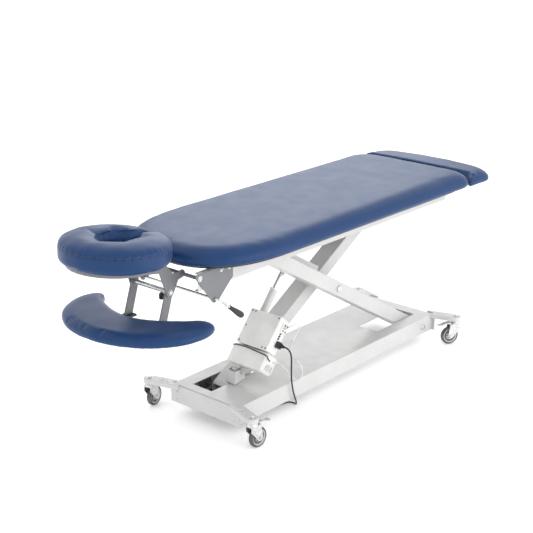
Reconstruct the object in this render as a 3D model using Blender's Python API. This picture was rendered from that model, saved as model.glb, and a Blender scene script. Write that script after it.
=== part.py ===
"""Electric hi-lo treatment table: castor base, two-arm scissor lift, linear actuator, long pad,
foot pad, tilting horseshoe face cushion and hanging arm shelf.

Metres, +Z up. The head end is at -X, the foot end at +X, and the actuator side is -Y.
The origin is on the floor, under the middle of the whole table.
"""

import math

import bmesh
import bpy
from mathutils import Matrix, Vector

GAP = 0.0003
BASE_X = 0.1915

# Base tray, folded from sheet and open beneath
TRAY_LENGTH = 1.412
TRAY_WIDTH = 0.378
TRAY_TOP = 0.135
TRAY_BOTTOM = 0.054
SHEET = 0.003
FLANGE = 0.045
FRONT_CUT_OUT = (-0.662, -0.325, 0.005, 0.118)
REAR_CUT_OUT = (0.338, 0.643, -0.122, -0.012)
END_PLATE = 0.005
END_PLATE_WIDTH = 0.400
END_PLATE_BOTTOM = 0.0505

# Castors
STEM_X = 0.743
STEM_Y = 0.297
ARM_TOP = 0.140
ARM_BOTTOM = 0.118
ARM_HALF_WIDTH = 0.026
ARM_SPLAY = math.radians(18)
ARM_ROOT_Y = 0.150
WHEEL_RADIUS = 0.044
WHEEL_HALF_WIDTH = 0.0115
TRAIL = 0.030
FORK_TOP = 0.1145
STEM_RADIUS = 0.006
AXLE_RADIUS = 0.004

# Scissor lift, drawn at its rest angle
LIFT_ANGLE = math.radians(30.5)
LOWER_HALF = 0.670
UPPER_HALF = 0.640
SCISSOR_LENGTH = LOWER_HALF + UPPER_HALF
PIVOT_Z = 0.088
REAR_PIVOT_X = BASE_X + 0.624
ARM_HEIGHT = 0.063
NEAR_ARM_Y = (-0.113, -0.025)
FAR_ARM_Y = (0.017, 0.105)
ARM_WALL = 0.004
SHAFT_RADIUS = 0.010

# Actuator, in the slot between the two scissor arms
ACTUATOR_Y = -0.004
LOWER_PIN = Vector((BASE_X - 0.520, ACTUATOR_Y, 0.188))
UPPER_PIN = Vector((BASE_X - 0.174, ACTUATOR_Y, 0.606))
TUBE_END = 0.385
TUBE_RADIUS = 0.0172
ROD_RADIUS = 0.0125
PIN_RADIUS = 0.006

# Top frame and pads
BOARD_TOP = 0.790
BOARD = 0.012
PAD_TOP = 0.862
PAD_HALF_WIDTH = 0.340
PAD_HEAD_X = BASE_X - 0.958
PAD_FOOT_X = BASE_X + 0.800
HEAD_CURVE_X = BASE_X - 0.500
HEAD_CURVE_POWER = 2.6
RAIL_Y = (0.176, 0.196)
RAIL_Z = (0.706, 0.7775)
RAIL_X = (BASE_X - 0.935, BASE_X + 0.760)
FOOT_PAD_END_X = BASE_X + 1.000
FOOT_PAD_TOP = 0.844
FOOT_BOW = 0.022

# Head section
TILT_AXIS = (BASE_X - 0.928, 0.757)
FACE_CENTRE_X = BASE_X - 1.1725
FACE_HALF_LENGTH = 0.2105
FACE_HALF_WIDTH = 0.222
FACE_BOTTOM = 0.847
FACE_TOP = 0.938
FACE_TILT = math.radians(3.4)
SHELF_AXIS = (BASE_X - 0.993, 0.697)
STRUT_Y = 0.094
STRUT_LEAN = 0.040
SHELF_TOP = 0.616
SHELF_THICKNESS = 0.046
SHELF_YAW = math.radians(6)
SHAFT_AXIS = (BASE_X - 0.850, 0.655)

# Cables
LEAD_DIAMETER = 0.007
COIL_CENTRE = (BASE_X - 0.494, -0.010)
COIL_INNER_RADIUS = 0.031
COIL_OUTER_RADIUS = 0.046
COIL_HEIGHT = 0.0285


def clear_scene():
    for leftover in list(bpy.data.objects):
        bpy.data.objects.remove(leftover)


def material(name, colour, roughness, metallic=0.0):
    made = bpy.data.materials.new(name)
    made.use_nodes = True
    shader = made.node_tree.nodes["Principled BSDF"]
    shader.inputs["Base Color"].default_value = (*colour, 1.0)
    shader.inputs["Roughness"].default_value = roughness
    shader.inputs["Metallic"].default_value = metallic
    return made


def add_object(name, mesh, finish, location=(0, 0, 0), rotation=(0, 0, 0)):
    made = bpy.data.objects.new(name, mesh)
    made.location = location
    made.rotation_euler = rotation
    if finish:
        mesh.materials.append(finish)
    bpy.context.scene.collection.objects.link(made)
    return made


def mesh_from(bm, name, smooth=False):
    bmesh.ops.recalc_face_normals(bm, faces=bm.faces)
    mesh = bpy.data.meshes.new(name)
    bm.to_mesh(mesh)
    bm.free()
    if smooth:
        mesh.shade_smooth()
        mesh.set_sharp_from_angle(angle=math.radians(35))
    return mesh


def bevel(made, width, segments=1):
    modifier = made.modifiers.new("Bevel", "BEVEL")
    modifier.width = width
    modifier.segments = segments
    modifier.limit_method = "ANGLE"
    modifier.angle_limit = math.radians(40)
    return made


def box(name, low, high, finish, round_edge=0.0, location=(0, 0, 0), rotation=(0, 0, 0)):
    """A box between two corners, given from its location."""
    bm = bmesh.new()
    bmesh.ops.create_cube(bm, size=1.0)
    for vert in bm.verts:
        vert.co = [low[i] + (vert.co[i] + 0.5) * (high[i] - low[i]) for i in range(3)]
    made = add_object(name, mesh_from(bm, name), finish, location, rotation)
    if round_edge:
        bevel(made, round_edge)
    return made


def prism(name, outline, span, plane, finish, round_edge=0.0, location=(0, 0, 0)):
    """An outline in the plane XY, XZ or YZ, pushed from span[0] to span[1] along the third axis."""
    place = {
        "XY": lambda a, b, c: (a, b, c),
        "XZ": lambda a, b, c: (a, c, b),
        "YZ": lambda a, b, c: (c, a, b),
    }[plane]
    bm = bmesh.new()
    ends = [[bm.verts.new(place(a, b, level)) for a, b in outline] for level in span]
    bm.faces.new(ends[0])
    bm.faces.new(list(reversed(ends[1])))
    count = len(outline)
    for i in range(count):
        j = (i + 1) % count
        bm.faces.new((ends[0][i], ends[0][j], ends[1][j], ends[1][i]))
    made = add_object(name, mesh_from(bm, name), finish, location)
    if round_edge:
        bevel(made, round_edge)
    return made


def turned(name, profile, finish, location, axis="Z", steps=24):
    """A solid turned about its own axis from (radius, height) points that start and end at radius 0."""
    bm = bmesh.new()
    rings = []
    for radius, height in profile:
        if radius == 0:
            rings.append([bm.verts.new((0, 0, height))])
            continue
        angles = [math.tau * i / steps for i in range(steps)]
        rings.append([bm.verts.new((radius * math.cos(a), radius * math.sin(a), height)) for a in angles])
    for low, high in zip(rings, rings[1:]):
        for i in range(steps):
            j = (i + 1) % steps
            corners = [low[i % len(low)], low[j % len(low)], high[j % len(high)], high[i % len(high)]]
            bm.faces.new(list(dict.fromkeys(corners)))
    turn = {"Z": (0, 0, 0), "Y": (math.pi / 2, 0, 0), "X": (0, math.pi / 2, 0)}[axis]
    return add_object(name, mesh_from(bm, name, smooth=True), finish, location, turn)


def turned_ring(name, profile, finish, location, axis="Z", steps=32):
    """A ring turned from a closed (radius, height) loop."""
    bm = bmesh.new()
    rings = []
    for i in range(steps):
        a = math.tau * i / steps
        rings.append([bm.verts.new((r * math.cos(a), r * math.sin(a), h)) for r, h in profile])
    count = len(profile)
    for i in range(steps):
        j = (i + 1) % steps
        for k in range(count):
            m = (k + 1) % count
            bm.faces.new((rings[i][k], rings[j][k], rings[j][m], rings[i][m]))
    turn = {"Z": (0, 0, 0), "Y": (math.pi / 2, 0, 0), "X": (0, math.pi / 2, 0)}[axis]
    return add_object(name, mesh_from(bm, name, smooth=True), finish, location, turn)


def rod(name, start, end, radius, finish, steps=16):
    """A round bar between two points, its origin at the first."""
    start = Vector(start)
    along = Vector(end) - start
    bm = bmesh.new()
    bmesh.ops.create_cone(
        bm,
        cap_ends=True,
        segments=steps,
        radius1=radius,
        radius2=radius,
        depth=along.length,
        matrix=Matrix.Translation((0, 0, along.length / 2)),
    )
    turn = along.to_track_quat("Z", "Y").to_euler()
    return add_object(name, mesh_from(bm, name, smooth=True), finish, start, turn)


def tube_along(name, points, radius, finish, sides=2):
    """A round tube along points, as a bevelled curve with filled ends."""
    curve = bpy.data.curves.new(name, "CURVE")
    curve.dimensions = "3D"
    curve.bevel_depth = radius
    curve.bevel_resolution = sides
    curve.use_fill_caps = True
    spline = curve.splines.new("POLY")
    spline.points.add(len(points) - 1)
    for point, place in zip(spline.points, points):
        point.co = (*place, 1.0)
    made = bpy.data.objects.new(name, curve)
    curve.materials.append(finish)
    bpy.context.scene.collection.objects.link(made)
    return made


def smooth_route(route, count):
    """Count points, evenly spaced by index, on a Catmull-Rom curve through the route."""
    knots = [Vector(p) for p in route]
    knots = [2 * knots[0] - knots[1]] + knots + [2 * knots[-1] - knots[-2]]
    points = []
    spans = len(knots) - 3
    for step in range(count):
        t = step / (count - 1) * spans
        i = min(int(t), spans - 1)
        u = t - i
        a, b, c, d = knots[i : i + 4]
        points.append(
            0.5 * (2 * b + (c - a) * u + (2 * a - 5 * b + 4 * c - d) * u**2 + (3 * b - a - 3 * c + d) * u**3)
        )
    return points


def combine(made, other, operation):
    """Adds or cuts a helper shape, which stays hidden in a render."""
    other.hide_render = True
    other.display_type = "WIRE"
    modifier = made.modifiers.new(operation.title(), "BOOLEAN")
    modifier.operation = operation
    modifier.solver = "EXACT"
    modifier.object = other
    return made


def cut(made, *others):
    for other in others:
        combine(made, other, "DIFFERENCE")
    return made


def join(made, *others):
    for other in others:
        combine(made, other, "UNION")
    return made


def arc(centre, radius, start, end, count):
    """Points on an arc, angles in degrees."""
    angles = [math.radians(start + (end - start) * i / (count - 1)) for i in range(count)]
    return [(centre[0] + radius * math.cos(a), centre[1] + radius * math.sin(a)) for a in angles]


def along_arm(start, angle, distance, offset=0.0):
    """A point in the XZ plane at a distance along a direction and an offset to its left."""
    x = start[0] + distance * math.cos(angle) - offset * math.sin(angle)
    z = start[1] + distance * math.sin(angle) + offset * math.cos(angle)
    return x, z


def mirrored(outline):
    return [(x, -y) for x, y in reversed(outline)]


clear_scene()
WHITE = material("white_powder_coat", (0.80, 0.80, 0.78), 0.42)
GREY = material("grey_powder_coat", (0.42, 0.43, 0.44), 0.45)
ZINC = material("zinc_plated_steel", (0.66, 0.67, 0.68), 0.30, 1.0)
CHROME = material("chrome", (0.75, 0.75, 0.75), 0.12, 1.0)
TYRE = material("grey_tyre", (0.16, 0.16, 0.17), 0.65)
HUB = material("hub_plastic", (0.62, 0.63, 0.65), 0.45)
CREAM = material("actuator_plastic", (0.72, 0.72, 0.68), 0.5)
BLACK = material("black_plastic", (0.02, 0.02, 0.02), 0.45)
VINYL = material("blue_vinyl", (0.035, 0.095, 0.30), 0.42)
PLYWOOD = material("plywood", (0.52, 0.38, 0.22), 0.6)
CABLE_GREY = material("grey_cable", (0.62, 0.63, 0.63), 0.5)


def make_tray():
    """A folded tray: top, four walls and an inward flange along each long side."""
    half = TRAY_LENGTH / 2
    side = TRAY_WIDTH / 2
    tray = box(
        "base_tray",
        (-half, -side, TRAY_BOTTOM),
        (half, side, TRAY_TOP),
        WHITE,
        location=(BASE_X, 0, 0),
    )
    inside = box(
        "tray_hollow",
        (-half + SHEET, -side + SHEET, TRAY_BOTTOM + SHEET),
        (half - SHEET, side - SHEET, TRAY_TOP - SHEET),
        None,
        location=(BASE_X, 0, 0),
    )
    mouth = box(
        "tray_mouth",
        (-half + SHEET, -side + FLANGE, TRAY_BOTTOM - 0.02),
        (half - SHEET, side - FLANGE, TRAY_BOTTOM + 0.02),
        None,
        location=(BASE_X, 0, 0),
    )
    openings = []
    for name, (low_x, high_x, low_y, high_y) in (("front_cut", FRONT_CUT_OUT), ("rear_cut", REAR_CUT_OUT)):
        openings.append(
            box(
                name,
                (low_x, low_y, TRAY_TOP - 0.02),
                (high_x, high_y, TRAY_TOP + 0.02),
                None,
                location=(BASE_X, 0, 0),
            )
        )
    bore = rod(
        "tray_bore",
        (REAR_PIVOT_X, -side - 0.02, PIVOT_Z),
        (REAR_PIVOT_X, side + 0.02, PIVOT_Z),
        SHAFT_RADIUS + GAP,
        None,
        steps=24,
    )
    bevel(tray, 0.002, 2)
    cut(tray, inside, mouth, *openings, bore)


def make_end_plate(name, sign):
    """A flat plate on the tray's end, a little wider than the tray, notched under the castor arms."""
    half = END_PLATE_WIDTH / 2
    notch = TRAY_WIDTH / 2
    top = TRAY_TOP - 0.003
    ledge = ARM_BOTTOM - GAP
    outline = [(-notch, top), (-notch, ledge), (-half, ledge), (-half, END_PLATE_BOTTOM)]
    outline += [(half, END_PLATE_BOTTOM), (half, ledge), (notch, ledge), (notch, top)]
    inner = sign * (TRAY_LENGTH / 2 + GAP)
    span = sorted((inner, inner + sign * END_PLATE))
    prism(name, outline, span, "YZ", WHITE, 0.0015, location=(BASE_X, 0, 0))


def make_castor_arm(name, end, side):
    """A flat bar that leaves the tray's corner at a splay and ends round the castor stem."""
    direction = Vector((math.sin(ARM_SPLAY), -math.cos(ARM_SPLAY)))
    across = Vector((math.cos(ARM_SPLAY), math.sin(ARM_SPLAY)))
    stem = Vector((-STEM_X, STEM_Y))
    face_x = -(TRAY_LENGTH / 2 + END_PLATE + 2 * GAP)
    wall_y = TRAY_WIDTH / 2 + GAP

    def on_edge(offset, y):
        start = stem + across * offset
        return start + direction * ((start.y - y) / math.cos(ARM_SPLAY))

    outer = on_edge(-ARM_HALF_WIDTH, ARM_ROOT_Y)
    inner = on_edge(ARM_HALF_WIDTH, wall_y)
    turn = math.degrees(ARM_SPLAY)
    cap = arc(stem, ARM_HALF_WIDTH, turn, turn + 180, 13)
    outline = [tuple(inner)] + cap + [tuple(outer), (face_x, ARM_ROOT_Y), (face_x, wall_y)]
    placed = [(BASE_X - end * x, side * y) for x, y in outline]
    if end * side < 0:
        placed.reverse()
    arm = prism(name, placed, (ARM_BOTTOM, ARM_TOP), "XY", WHITE, 0.002)
    stem_x = BASE_X + end * STEM_X
    bore = rod(
        name + "_bore",
        (stem_x, side * STEM_Y, ARM_BOTTOM - 0.01),
        (stem_x, side * STEM_Y, ARM_TOP + 0.01),
        STEM_RADIUS + GAP,
        None,
    )
    cut(arm, bore)


def make_castor(name, end, side, heading, braked):
    """A swivel fork with its stem and axle, a hub, a tyre and, on braked castors, a pedal."""
    stem = Vector((BASE_X + end * STEM_X, side * STEM_Y, 0))
    turn = (0, 0, heading)
    plate = 0.003
    inside = WHEEL_HALF_WIDTH + 0.0035
    outside = inside + plate
    crown = FORK_TOP - 0.004
    fork = turned(
        name + "_fork",
        [
            (0, 0.1475),
            (0.0075, 0.1475),
            (0.0095, 0.1445),
            (0.0095, ARM_TOP + GAP),
            (STEM_RADIUS, ARM_TOP + GAP),
            (STEM_RADIUS, FORK_TOP + 0.001),
            (0.020, FORK_TOP + 0.001),
            (0.023, FORK_TOP - 0.004),
            (0.023, FORK_TOP - 0.010),
            (0.020, FORK_TOP - 0.013),
            (0, FORK_TOP - 0.013),
        ],
        ZINC,
        stem,
        steps=20,
    )
    fork.rotation_euler = turn
    bridge = box(
        name + "_bridge",
        (-0.020, -outside, crown - 0.010),
        (TRAIL + 0.004, outside, crown - 0.005),
        None,
        location=stem,
        rotation=turn,
    )
    cheek_outline = [(-0.020, crown - 0.006), (TRAIL + 0.004, crown - 0.006)]
    cheek_outline += [(TRAIL + 0.014, WHEEL_RADIUS), (TRAIL + 0.006, WHEEL_RADIUS - 0.012)]
    cheek_outline += [(TRAIL - 0.008, WHEEL_RADIUS - 0.012), (-0.020, crown - 0.030)]
    helpers = [bridge]
    for label, low in (("left", -outside), ("right", inside)):
        cheek = prism(name + "_cheek_" + label, cheek_outline, (low, low + plate), "XZ", None)
        cheek.location = stem
        cheek.rotation_euler = turn
        helpers.append(cheek)
    across = Vector((-math.sin(heading), math.cos(heading), 0))
    axle_at = stem + Vector((math.cos(heading), math.sin(heading), 0)) * TRAIL
    axle_at.z = WHEEL_RADIUS
    reach = outside + 0.004
    helpers.append(
        rod(name + "_axle", axle_at - across * reach, axle_at + across * reach, AXLE_RADIUS, None, 12)
    )
    join(fork, *helpers)

    facing = (math.pi / 2, 0, heading)
    width = WHEEL_HALF_WIDTH
    hub = turned_ring(
        name + "_hub",
        [
            (AXLE_RADIUS + GAP, -width - 0.002),
            (0.010, -width - 0.002),
            (0.012, -0.006),
            (0.0300, -0.006),
            (0.0335, -width + 0.001),
            (0.0345, -width + 0.001),
            (0.0345, width - 0.001),
            (0.0335, width - 0.001),
            (0.0300, 0.006),
            (0.012, 0.006),
            (0.010, width + 0.002),
            (AXLE_RADIUS + GAP, width + 0.002),
        ],
        HUB,
        axle_at,
        steps=20,
    )
    hub.rotation_euler = facing
    tyre = turned_ring(
        name + "_tyre",
        [
            (0.0348, -width + 0.001),
            (0.0400, -width),
            (WHEEL_RADIUS - 0.0015, -width + 0.003),
            (WHEEL_RADIUS, -width + 0.007),
            (WHEEL_RADIUS, width - 0.007),
            (WHEEL_RADIUS - 0.0015, width - 0.003),
            (0.0400, width),
            (0.0348, width - 0.001),
        ],
        TYRE,
        axle_at,
        steps=40,
    )
    tyre.rotation_euler = facing

    if braked:
        pivot = stem + Vector((math.cos(heading), math.sin(heading), 0)) * (TRAIL + 0.012)
        pivot.z = crown - 0.002
        outline = [(-0.016, -0.0022), (0.012, -0.0022), (0.040, -0.010), (0.052, -0.008)]
        outline += [(0.052, -0.003), (0.038, -0.005), (0.010, 0.004), (-0.016, 0.004)]
        pedal = prism(name + "_brake_pedal", outline, (-0.013, 0.013), "XZ", ZINC, 0.001)
        pedal.location = pivot
        pedal.rotation_euler = turn


def make_scissor_arm(name, fixed_end, angle, span_y):
    """A square steel tube with rounded, open ends, bored at both pivots and at its centre bolt."""
    half = ARM_HEIGHT / 2
    round_low = 0.0295
    round_high = 0.0235
    outline = arc((0, 0), round_low, 270, 90, 9)
    outline[0] = (0.005, -half)
    outline[-1] = (0.005, half)
    outline += [(SCISSOR_LENGTH - 0.022, half)]
    outline += arc((SCISSOR_LENGTH, 0), round_high, 60, -60, 7)
    outline += [(SCISSOR_LENGTH - 0.022, -half)]
    if angle > math.pi / 2:
        outline = [(x, -z) for x, z in reversed(outline)]
    turn = (0, -angle, 0)
    arm = prism(name, outline, span_y, "XZ", WHITE)
    arm.location = (fixed_end[0], 0, fixed_end[1])
    arm.rotation_euler = turn
    bevel(arm, 0.004, 2)
    hollow = box(
        name + "_hollow",
        (-0.05, span_y[0] + ARM_WALL, -half + ARM_WALL),
        (SCISSOR_LENGTH + 0.05, span_y[1] - ARM_WALL, half - ARM_WALL),
        None,
        location=(fixed_end[0], 0, fixed_end[1]),
        rotation=turn,
    )
    bores = []
    for index, distance in enumerate((0, LOWER_HALF, SCISSOR_LENGTH)):
        x, z = along_arm(fixed_end, angle, distance)
        start = (x, span_y[0] - 0.02, z)
        end = (x, span_y[1] + 0.02, z)
        bores.append(rod(name + "_bore_" + str(index), start, end, SHAFT_RADIUS + GAP, None, 20))
    cut(arm, hollow, *bores)


def make_lift():
    rear = (REAR_PIVOT_X, PIVOT_Z)
    near_angle = math.pi - LIFT_ANGLE
    lower_x = REAR_PIVOT_X - 2 * LOWER_HALF * math.cos(LIFT_ANGLE)
    front_x, front_z = along_arm(rear, near_angle, SCISSOR_LENGTH)
    upper_x, upper_z = along_arm((lower_x, PIVOT_Z), LIFT_ANGLE, SCISSOR_LENGTH)
    make_scissor_arm("near_scissor_arm", rear, near_angle, NEAR_ARM_Y)
    make_scissor_arm("far_scissor_arm", (lower_x, PIVOT_Z), LIFT_ANGLE, FAR_ARM_Y)

    wall = TRAY_WIDTH / 2
    head = 0.007
    shaft = SHAFT_RADIUS
    turned(
        "lower_pivot_shaft",
        [
            (0, -wall - head),
            (0.011, -wall - head),
            (0.014, -wall - head + 0.002),
            (0.014, -wall - GAP),
            (shaft, -wall - GAP),
            (shaft, wall + GAP),
            (0.014, wall + GAP),
            (0.014, wall + head - 0.002),
            (0.011, wall + head),
            (0, wall + head),
        ],
        ZINC,
        (REAR_PIVOT_X, 0, PIVOT_Z),
        "Y",
        20,
    )
    inner = RAIL_Y[0]
    turned(
        "upper_pivot_shaft",
        [(0, -inner + GAP), (shaft, -inner + GAP), (shaft, inner - GAP), (0, inner - GAP)],
        ZINC,
        (upper_x, 0, upper_z),
        "Y",
        20,
    )

    def roller_axle(name, location, roller, low, high, width):
        """A shaft with a roller at each end, one turned solid."""
        turned(
            name,
            [
                (0, low),
                (roller, low),
                (roller, low + width),
                (shaft, low + width),
                (shaft, high - width),
                (roller, high - width),
                (roller, high),
                (0, high),
            ],
            GREY,
            location,
            "Y",
            24,
        )

    wheel = PIVOT_Z - TRAY_BOTTOM - SHEET - GAP
    reach = wall - SHEET - 0.004
    roller_axle("lower_roller_axle", (lower_x, 0, PIVOT_Z), wheel, -reach, reach, 0.020)
    wheel = RAIL_Z[1] - SHEET - GAP - front_z
    reach = RAIL_Y[1] - SHEET - 0.002
    roller_axle("upper_roller_axle", (front_x, 0, front_z), wheel, -reach, reach, 0.012)

    centre_x, centre_z = along_arm(rear, near_angle, LOWER_HALF)
    low = NEAR_ARM_Y[0]
    high = FAR_ARM_Y[1]
    turned(
        "centre_pivot_bolt",
        [
            (0, -high - 0.008),
            (0.012, -high - 0.008),
            (0.015, -high - 0.006),
            (0.015, -high - GAP),
            (shaft, -high - GAP),
            (shaft, -FAR_ARM_Y[0] + GAP),
            (0.022, -FAR_ARM_Y[0] + GAP),
            (0.022, -NEAR_ARM_Y[1] - GAP),
            (shaft, -NEAR_ARM_Y[1] - GAP),
            (shaft, -low + GAP),
            (0.015, -low + GAP),
            (0.015, -low + 0.006),
            (0.012, -low + 0.008),
            (0, -low + 0.008),
        ],
        ZINC,
        (centre_x, 0, centre_z),
        "Y",
        20,
    )


def make_actuator():
    along = (UPPER_PIN - LOWER_PIN).normalized()
    angle = math.atan2(along.z, along.x)
    turn = (0, -angle, 0)

    tube_start = LOWER_PIN + along * 0.010
    tube = rod("actuator_tube", tube_start, LOWER_PIN + along * TUBE_END, TUBE_RADIUS, WHITE, 24)
    bore = rod(
        "tube_bore",
        LOWER_PIN + along * 0.125,
        LOWER_PIN + along * (TUBE_END + 0.02),
        ROD_RADIUS + 0.0010,
        None,
        24,
    )
    eye = rod(
        "tube_eye",
        LOWER_PIN - Vector((0, 0.012, 0)),
        LOWER_PIN + Vector((0, 0.012, 0)),
        0.016,
        None,
        20,
    )
    pin_hole = rod(
        "tube_pin_hole",
        LOWER_PIN - Vector((0, 0.05, 0)),
        LOWER_PIN + Vector((0, 0.05, 0)),
        PIN_RADIUS + GAP,
        None,
        16,
    )
    join(tube, eye)
    cut(tube, bore, pin_hole)

    rod_start = (UPPER_PIN - LOWER_PIN).length - 0.285
    piston = rod("actuator_rod", LOWER_PIN + along * rod_start, UPPER_PIN, ROD_RADIUS, CHROME, 20)
    eye = rod(
        "rod_eye",
        UPPER_PIN - Vector((0, 0.0115, 0)),
        UPPER_PIN + Vector((0, 0.0115, 0)),
        0.0135,
        None,
        20,
    )
    join(piston, eye)

    clear = TUBE_RADIUS + 0.0015

    def slab(name, span_along, span_y, span_across, finish, round_edge):
        """A box set along the actuator: its third axis points away from the tube, to the front."""
        return box(
            name,
            (span_along[0], span_y[0], span_across[0]),
            (span_along[1], span_y[1], span_across[1]),
            finish,
            round_edge,
            location=LOWER_PIN,
            rotation=turn,
        )

    motor = slab("motor_housing", (0.024, 0.108), (-0.158, 0.040), (-0.036, 0.046), CREAM, 0.009)
    tunnel = rod("motor_tunnel", LOWER_PIN, LOWER_PIN + along * 0.20, clear, None, 24)
    cut(motor, tunnel)
    case = slab("control_box", (0.112, 0.272), (-0.140, 0.028), (-0.026, 0.0440), CREAM, 0.004)
    channel = slab("case_channel", (0.09, 0.30), (-clear, 0.06), (-0.05, clear), None, 0.0)
    cut(case, channel)
    inlet = slab("mains_connector", (0.147, 0.175), (-0.1620, -0.1403), (-0.014, 0.010), BLACK, 0.002)
    relief = turned(
        "connector_relief",
        [(0, -0.004), (0.0085, -0.004), (0.0075, 0.004), (0.0050, 0.020), (0, 0.020)],
        None,
        LOWER_PIN + along * 0.161 - Vector((-along.z, 0, along.x)) * 0.002 + Vector((0, -0.1620, 0)),
        "Y",
        16,
    )
    join(inlet, relief)
    socket_block = slab("socket_block", (0.215, 0.258), (-0.1450, -0.139), (-0.020, 0.020), None, 0.0)
    join(case, socket_block)
    slab("control_box_cover", (0.112, 0.272), (-0.140, 0.028), (0.0443, 0.0480), CREAM, 0.0012)
    return along, turn


def make_brackets(along):
    """The saddle under the actuator on the far arm and the loose saddle over the rod on the near arm."""
    wall = 0.0028
    far_face = FAR_ARM_Y[0] - GAP
    saddle = box(
        "lower_actuator_bracket",
        (-0.040, -0.032, -0.045),
        (-0.036, far_face - ACTUATOR_Y, 0.012),
        WHITE,
        location=LOWER_PIN,
    )
    cheeks = []
    near_cheek = [(-0.040, -0.045), (0.022, -0.036), (0.020, 0.012), (-0.040, 0.012)]
    far_cheek = [
        (-0.040, -0.046),
        (-0.026, -0.060),
        (-0.014, -0.078),
        (0.045, -0.050),
        (0.020, 0.012),
        (-0.040, 0.012),
    ]
    for label, outline, low in (
        ("near", near_cheek, -0.032),
        ("far", far_cheek, far_face - ACTUATOR_Y - wall),
    ):
        cheek = prism("bracket_cheek_" + label, outline, (low, low + wall), "XZ", None, location=LOWER_PIN)
        cheeks.append(cheek)
    pin = rod(
        "bracket_pin",
        LOWER_PIN - Vector((0, 0.035, 0)),
        LOWER_PIN + Vector((0, far_face - ACTUATOR_Y - 0.001, 0)),
        PIN_RADIUS,
        None,
        16,
    )
    join(saddle, *cheeks, pin)

    near_face = NEAR_ARM_Y[1] + GAP
    far_edge = 0.0145
    roof_low = 0.0200
    roof_high = 0.0225
    arm_turn = (0, LIFT_ANGLE, 0)
    place = (UPPER_PIN.x, 0, UPPER_PIN.z)

    def leaf(name, low, high, finish=None):
        return box(name, low, high, finish, location=place, rotation=arm_turn)

    hat_top = (0.200, near_face + 0.0022, roof_high)
    hat = leaf("upper_actuator_bracket", (-0.120, near_face, -0.050), hat_top, GREY)
    roof = leaf("bracket_roof", (-0.120, near_face, roof_low), (0.200, far_edge, roof_high))
    flap = leaf("bracket_flap", (-0.028, far_edge - 0.0025, -0.016), (0.028, far_edge, roof_high))
    join(hat, roof, flap)


def make_top_frame():
    """Two channel rails joined by a cross member and the pivot shaft, with a gusset under each."""
    low_y, high_y = RAIL_Y
    low_z, high_z = RAIL_Z
    for name, side in (("near_frame_rail", -1), ("far_frame_rail", 1)):
        channel = [
            (high_y, low_z),
            (high_y, high_z),
            (low_y, high_z),
            (low_y, high_z - SHEET),
            (high_y - SHEET, high_z - SHEET),
            (high_y - SHEET, low_z + SHEET),
            (low_y, low_z + SHEET),
            (low_y, low_z),
        ]
        prism(name, [(side * y, z) for y, z in channel], RAIL_X, "YZ", GREY, 0.0008)
    inner = low_y - GAP
    box(
        "frame_cross_member",
        (-0.020, -inner, 0.003),
        (0.020, inner, 0.040),
        GREY,
        0.002,
        location=(BASE_X + 0.715, 0, low_z),
    )
    for name, side in (("near_gusset", -1), ("far_gusset", 1)):
        outline = [(-0.100, 0.121), (0.106, 0.121), (0.106, 0.066), (0.024, -0.010)]
        outline += arc((0, 0), 0.016, 315, 225, 5)
        outline += [(-0.020, 0.001), (-0.100, 0.106)]
        face = high_y + GAP
        span = sorted((side * face, side * (face + 0.004)))
        gusset = prism(name, outline, span, "XZ", GREY, location=(SHAFT_AXIS[0], 0, SHAFT_AXIS[1]))
        hole = rod(
            name + "_hole",
            (SHAFT_AXIS[0], side * (face - 0.01), SHAFT_AXIS[1]),
            (SHAFT_AXIS[0], side * (face + 0.02), SHAFT_AXIS[1]),
            0.0055 + GAP,
            None,
            16,
        )
        cut(gusset, hole)


def pad_outline(inset=0.0):
    """The main pad seen from above: straight sides, an egg-shaped head end, a slightly bowed foot end."""
    half = PAD_HALF_WIDTH - inset
    length = HEAD_CURVE_X - PAD_HEAD_X - inset
    head = []
    steps = 14
    for i in range(1, steps):
        t = math.pi / 2 * i / steps
        x = HEAD_CURVE_X - length * math.sin(t) ** (2 / HEAD_CURVE_POWER)
        y = half * math.cos(t) ** (2 / HEAD_CURVE_POWER)
        head.append((x, y))
    foot = []
    corner = 0.080
    end = PAD_FOOT_X - inset
    for i in range(5):
        y = (half - corner) * i / 4
        foot.append((end - FOOT_BOW * (y / half) ** 2, y))
    foot += arc((foot[-1][0] - corner, half - corner), corner, 15, 90, 6)
    upper = foot[1:] + [(HEAD_CURVE_X, half)] + head
    return [foot[0]] + upper + [(PAD_HEAD_X + inset, 0)] + mirrored(upper)


def foot_outline(inset=0.0):
    """The foot pad seen from above: it follows the main pad's end and bows out a little more."""
    half = PAD_HALF_WIDTH - 0.002 - inset
    corner = 0.078
    seam = PAD_FOOT_X + 0.006 + inset
    inner = []
    for i in range(4):
        y = (PAD_HALF_WIDTH - 0.080) * i / 3
        inner.append((seam - FOOT_BOW * (y / PAD_HALF_WIDTH) ** 2, y))
    bend = (inner[-1][0] - 0.080, PAD_HALF_WIDTH - 0.080)
    inner += arc(bend, 0.080, 20, 56, 3)
    outer = []
    end = FOOT_PAD_END_X - inset
    for i in range(5):
        y = (half - corner) * i / 4
        outer.append((end - 0.045 * (y / half) ** 2, y))
    turn = arc((outer[-1][0] - corner, half - corner), corner, 15, 90, 6)
    side = [(inner[-1][0] + 0.012, half)]
    upper = inner + side + list(reversed(turn)) + list(reversed(outer))
    return upper + mirrored(upper)[1:-1]


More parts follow.
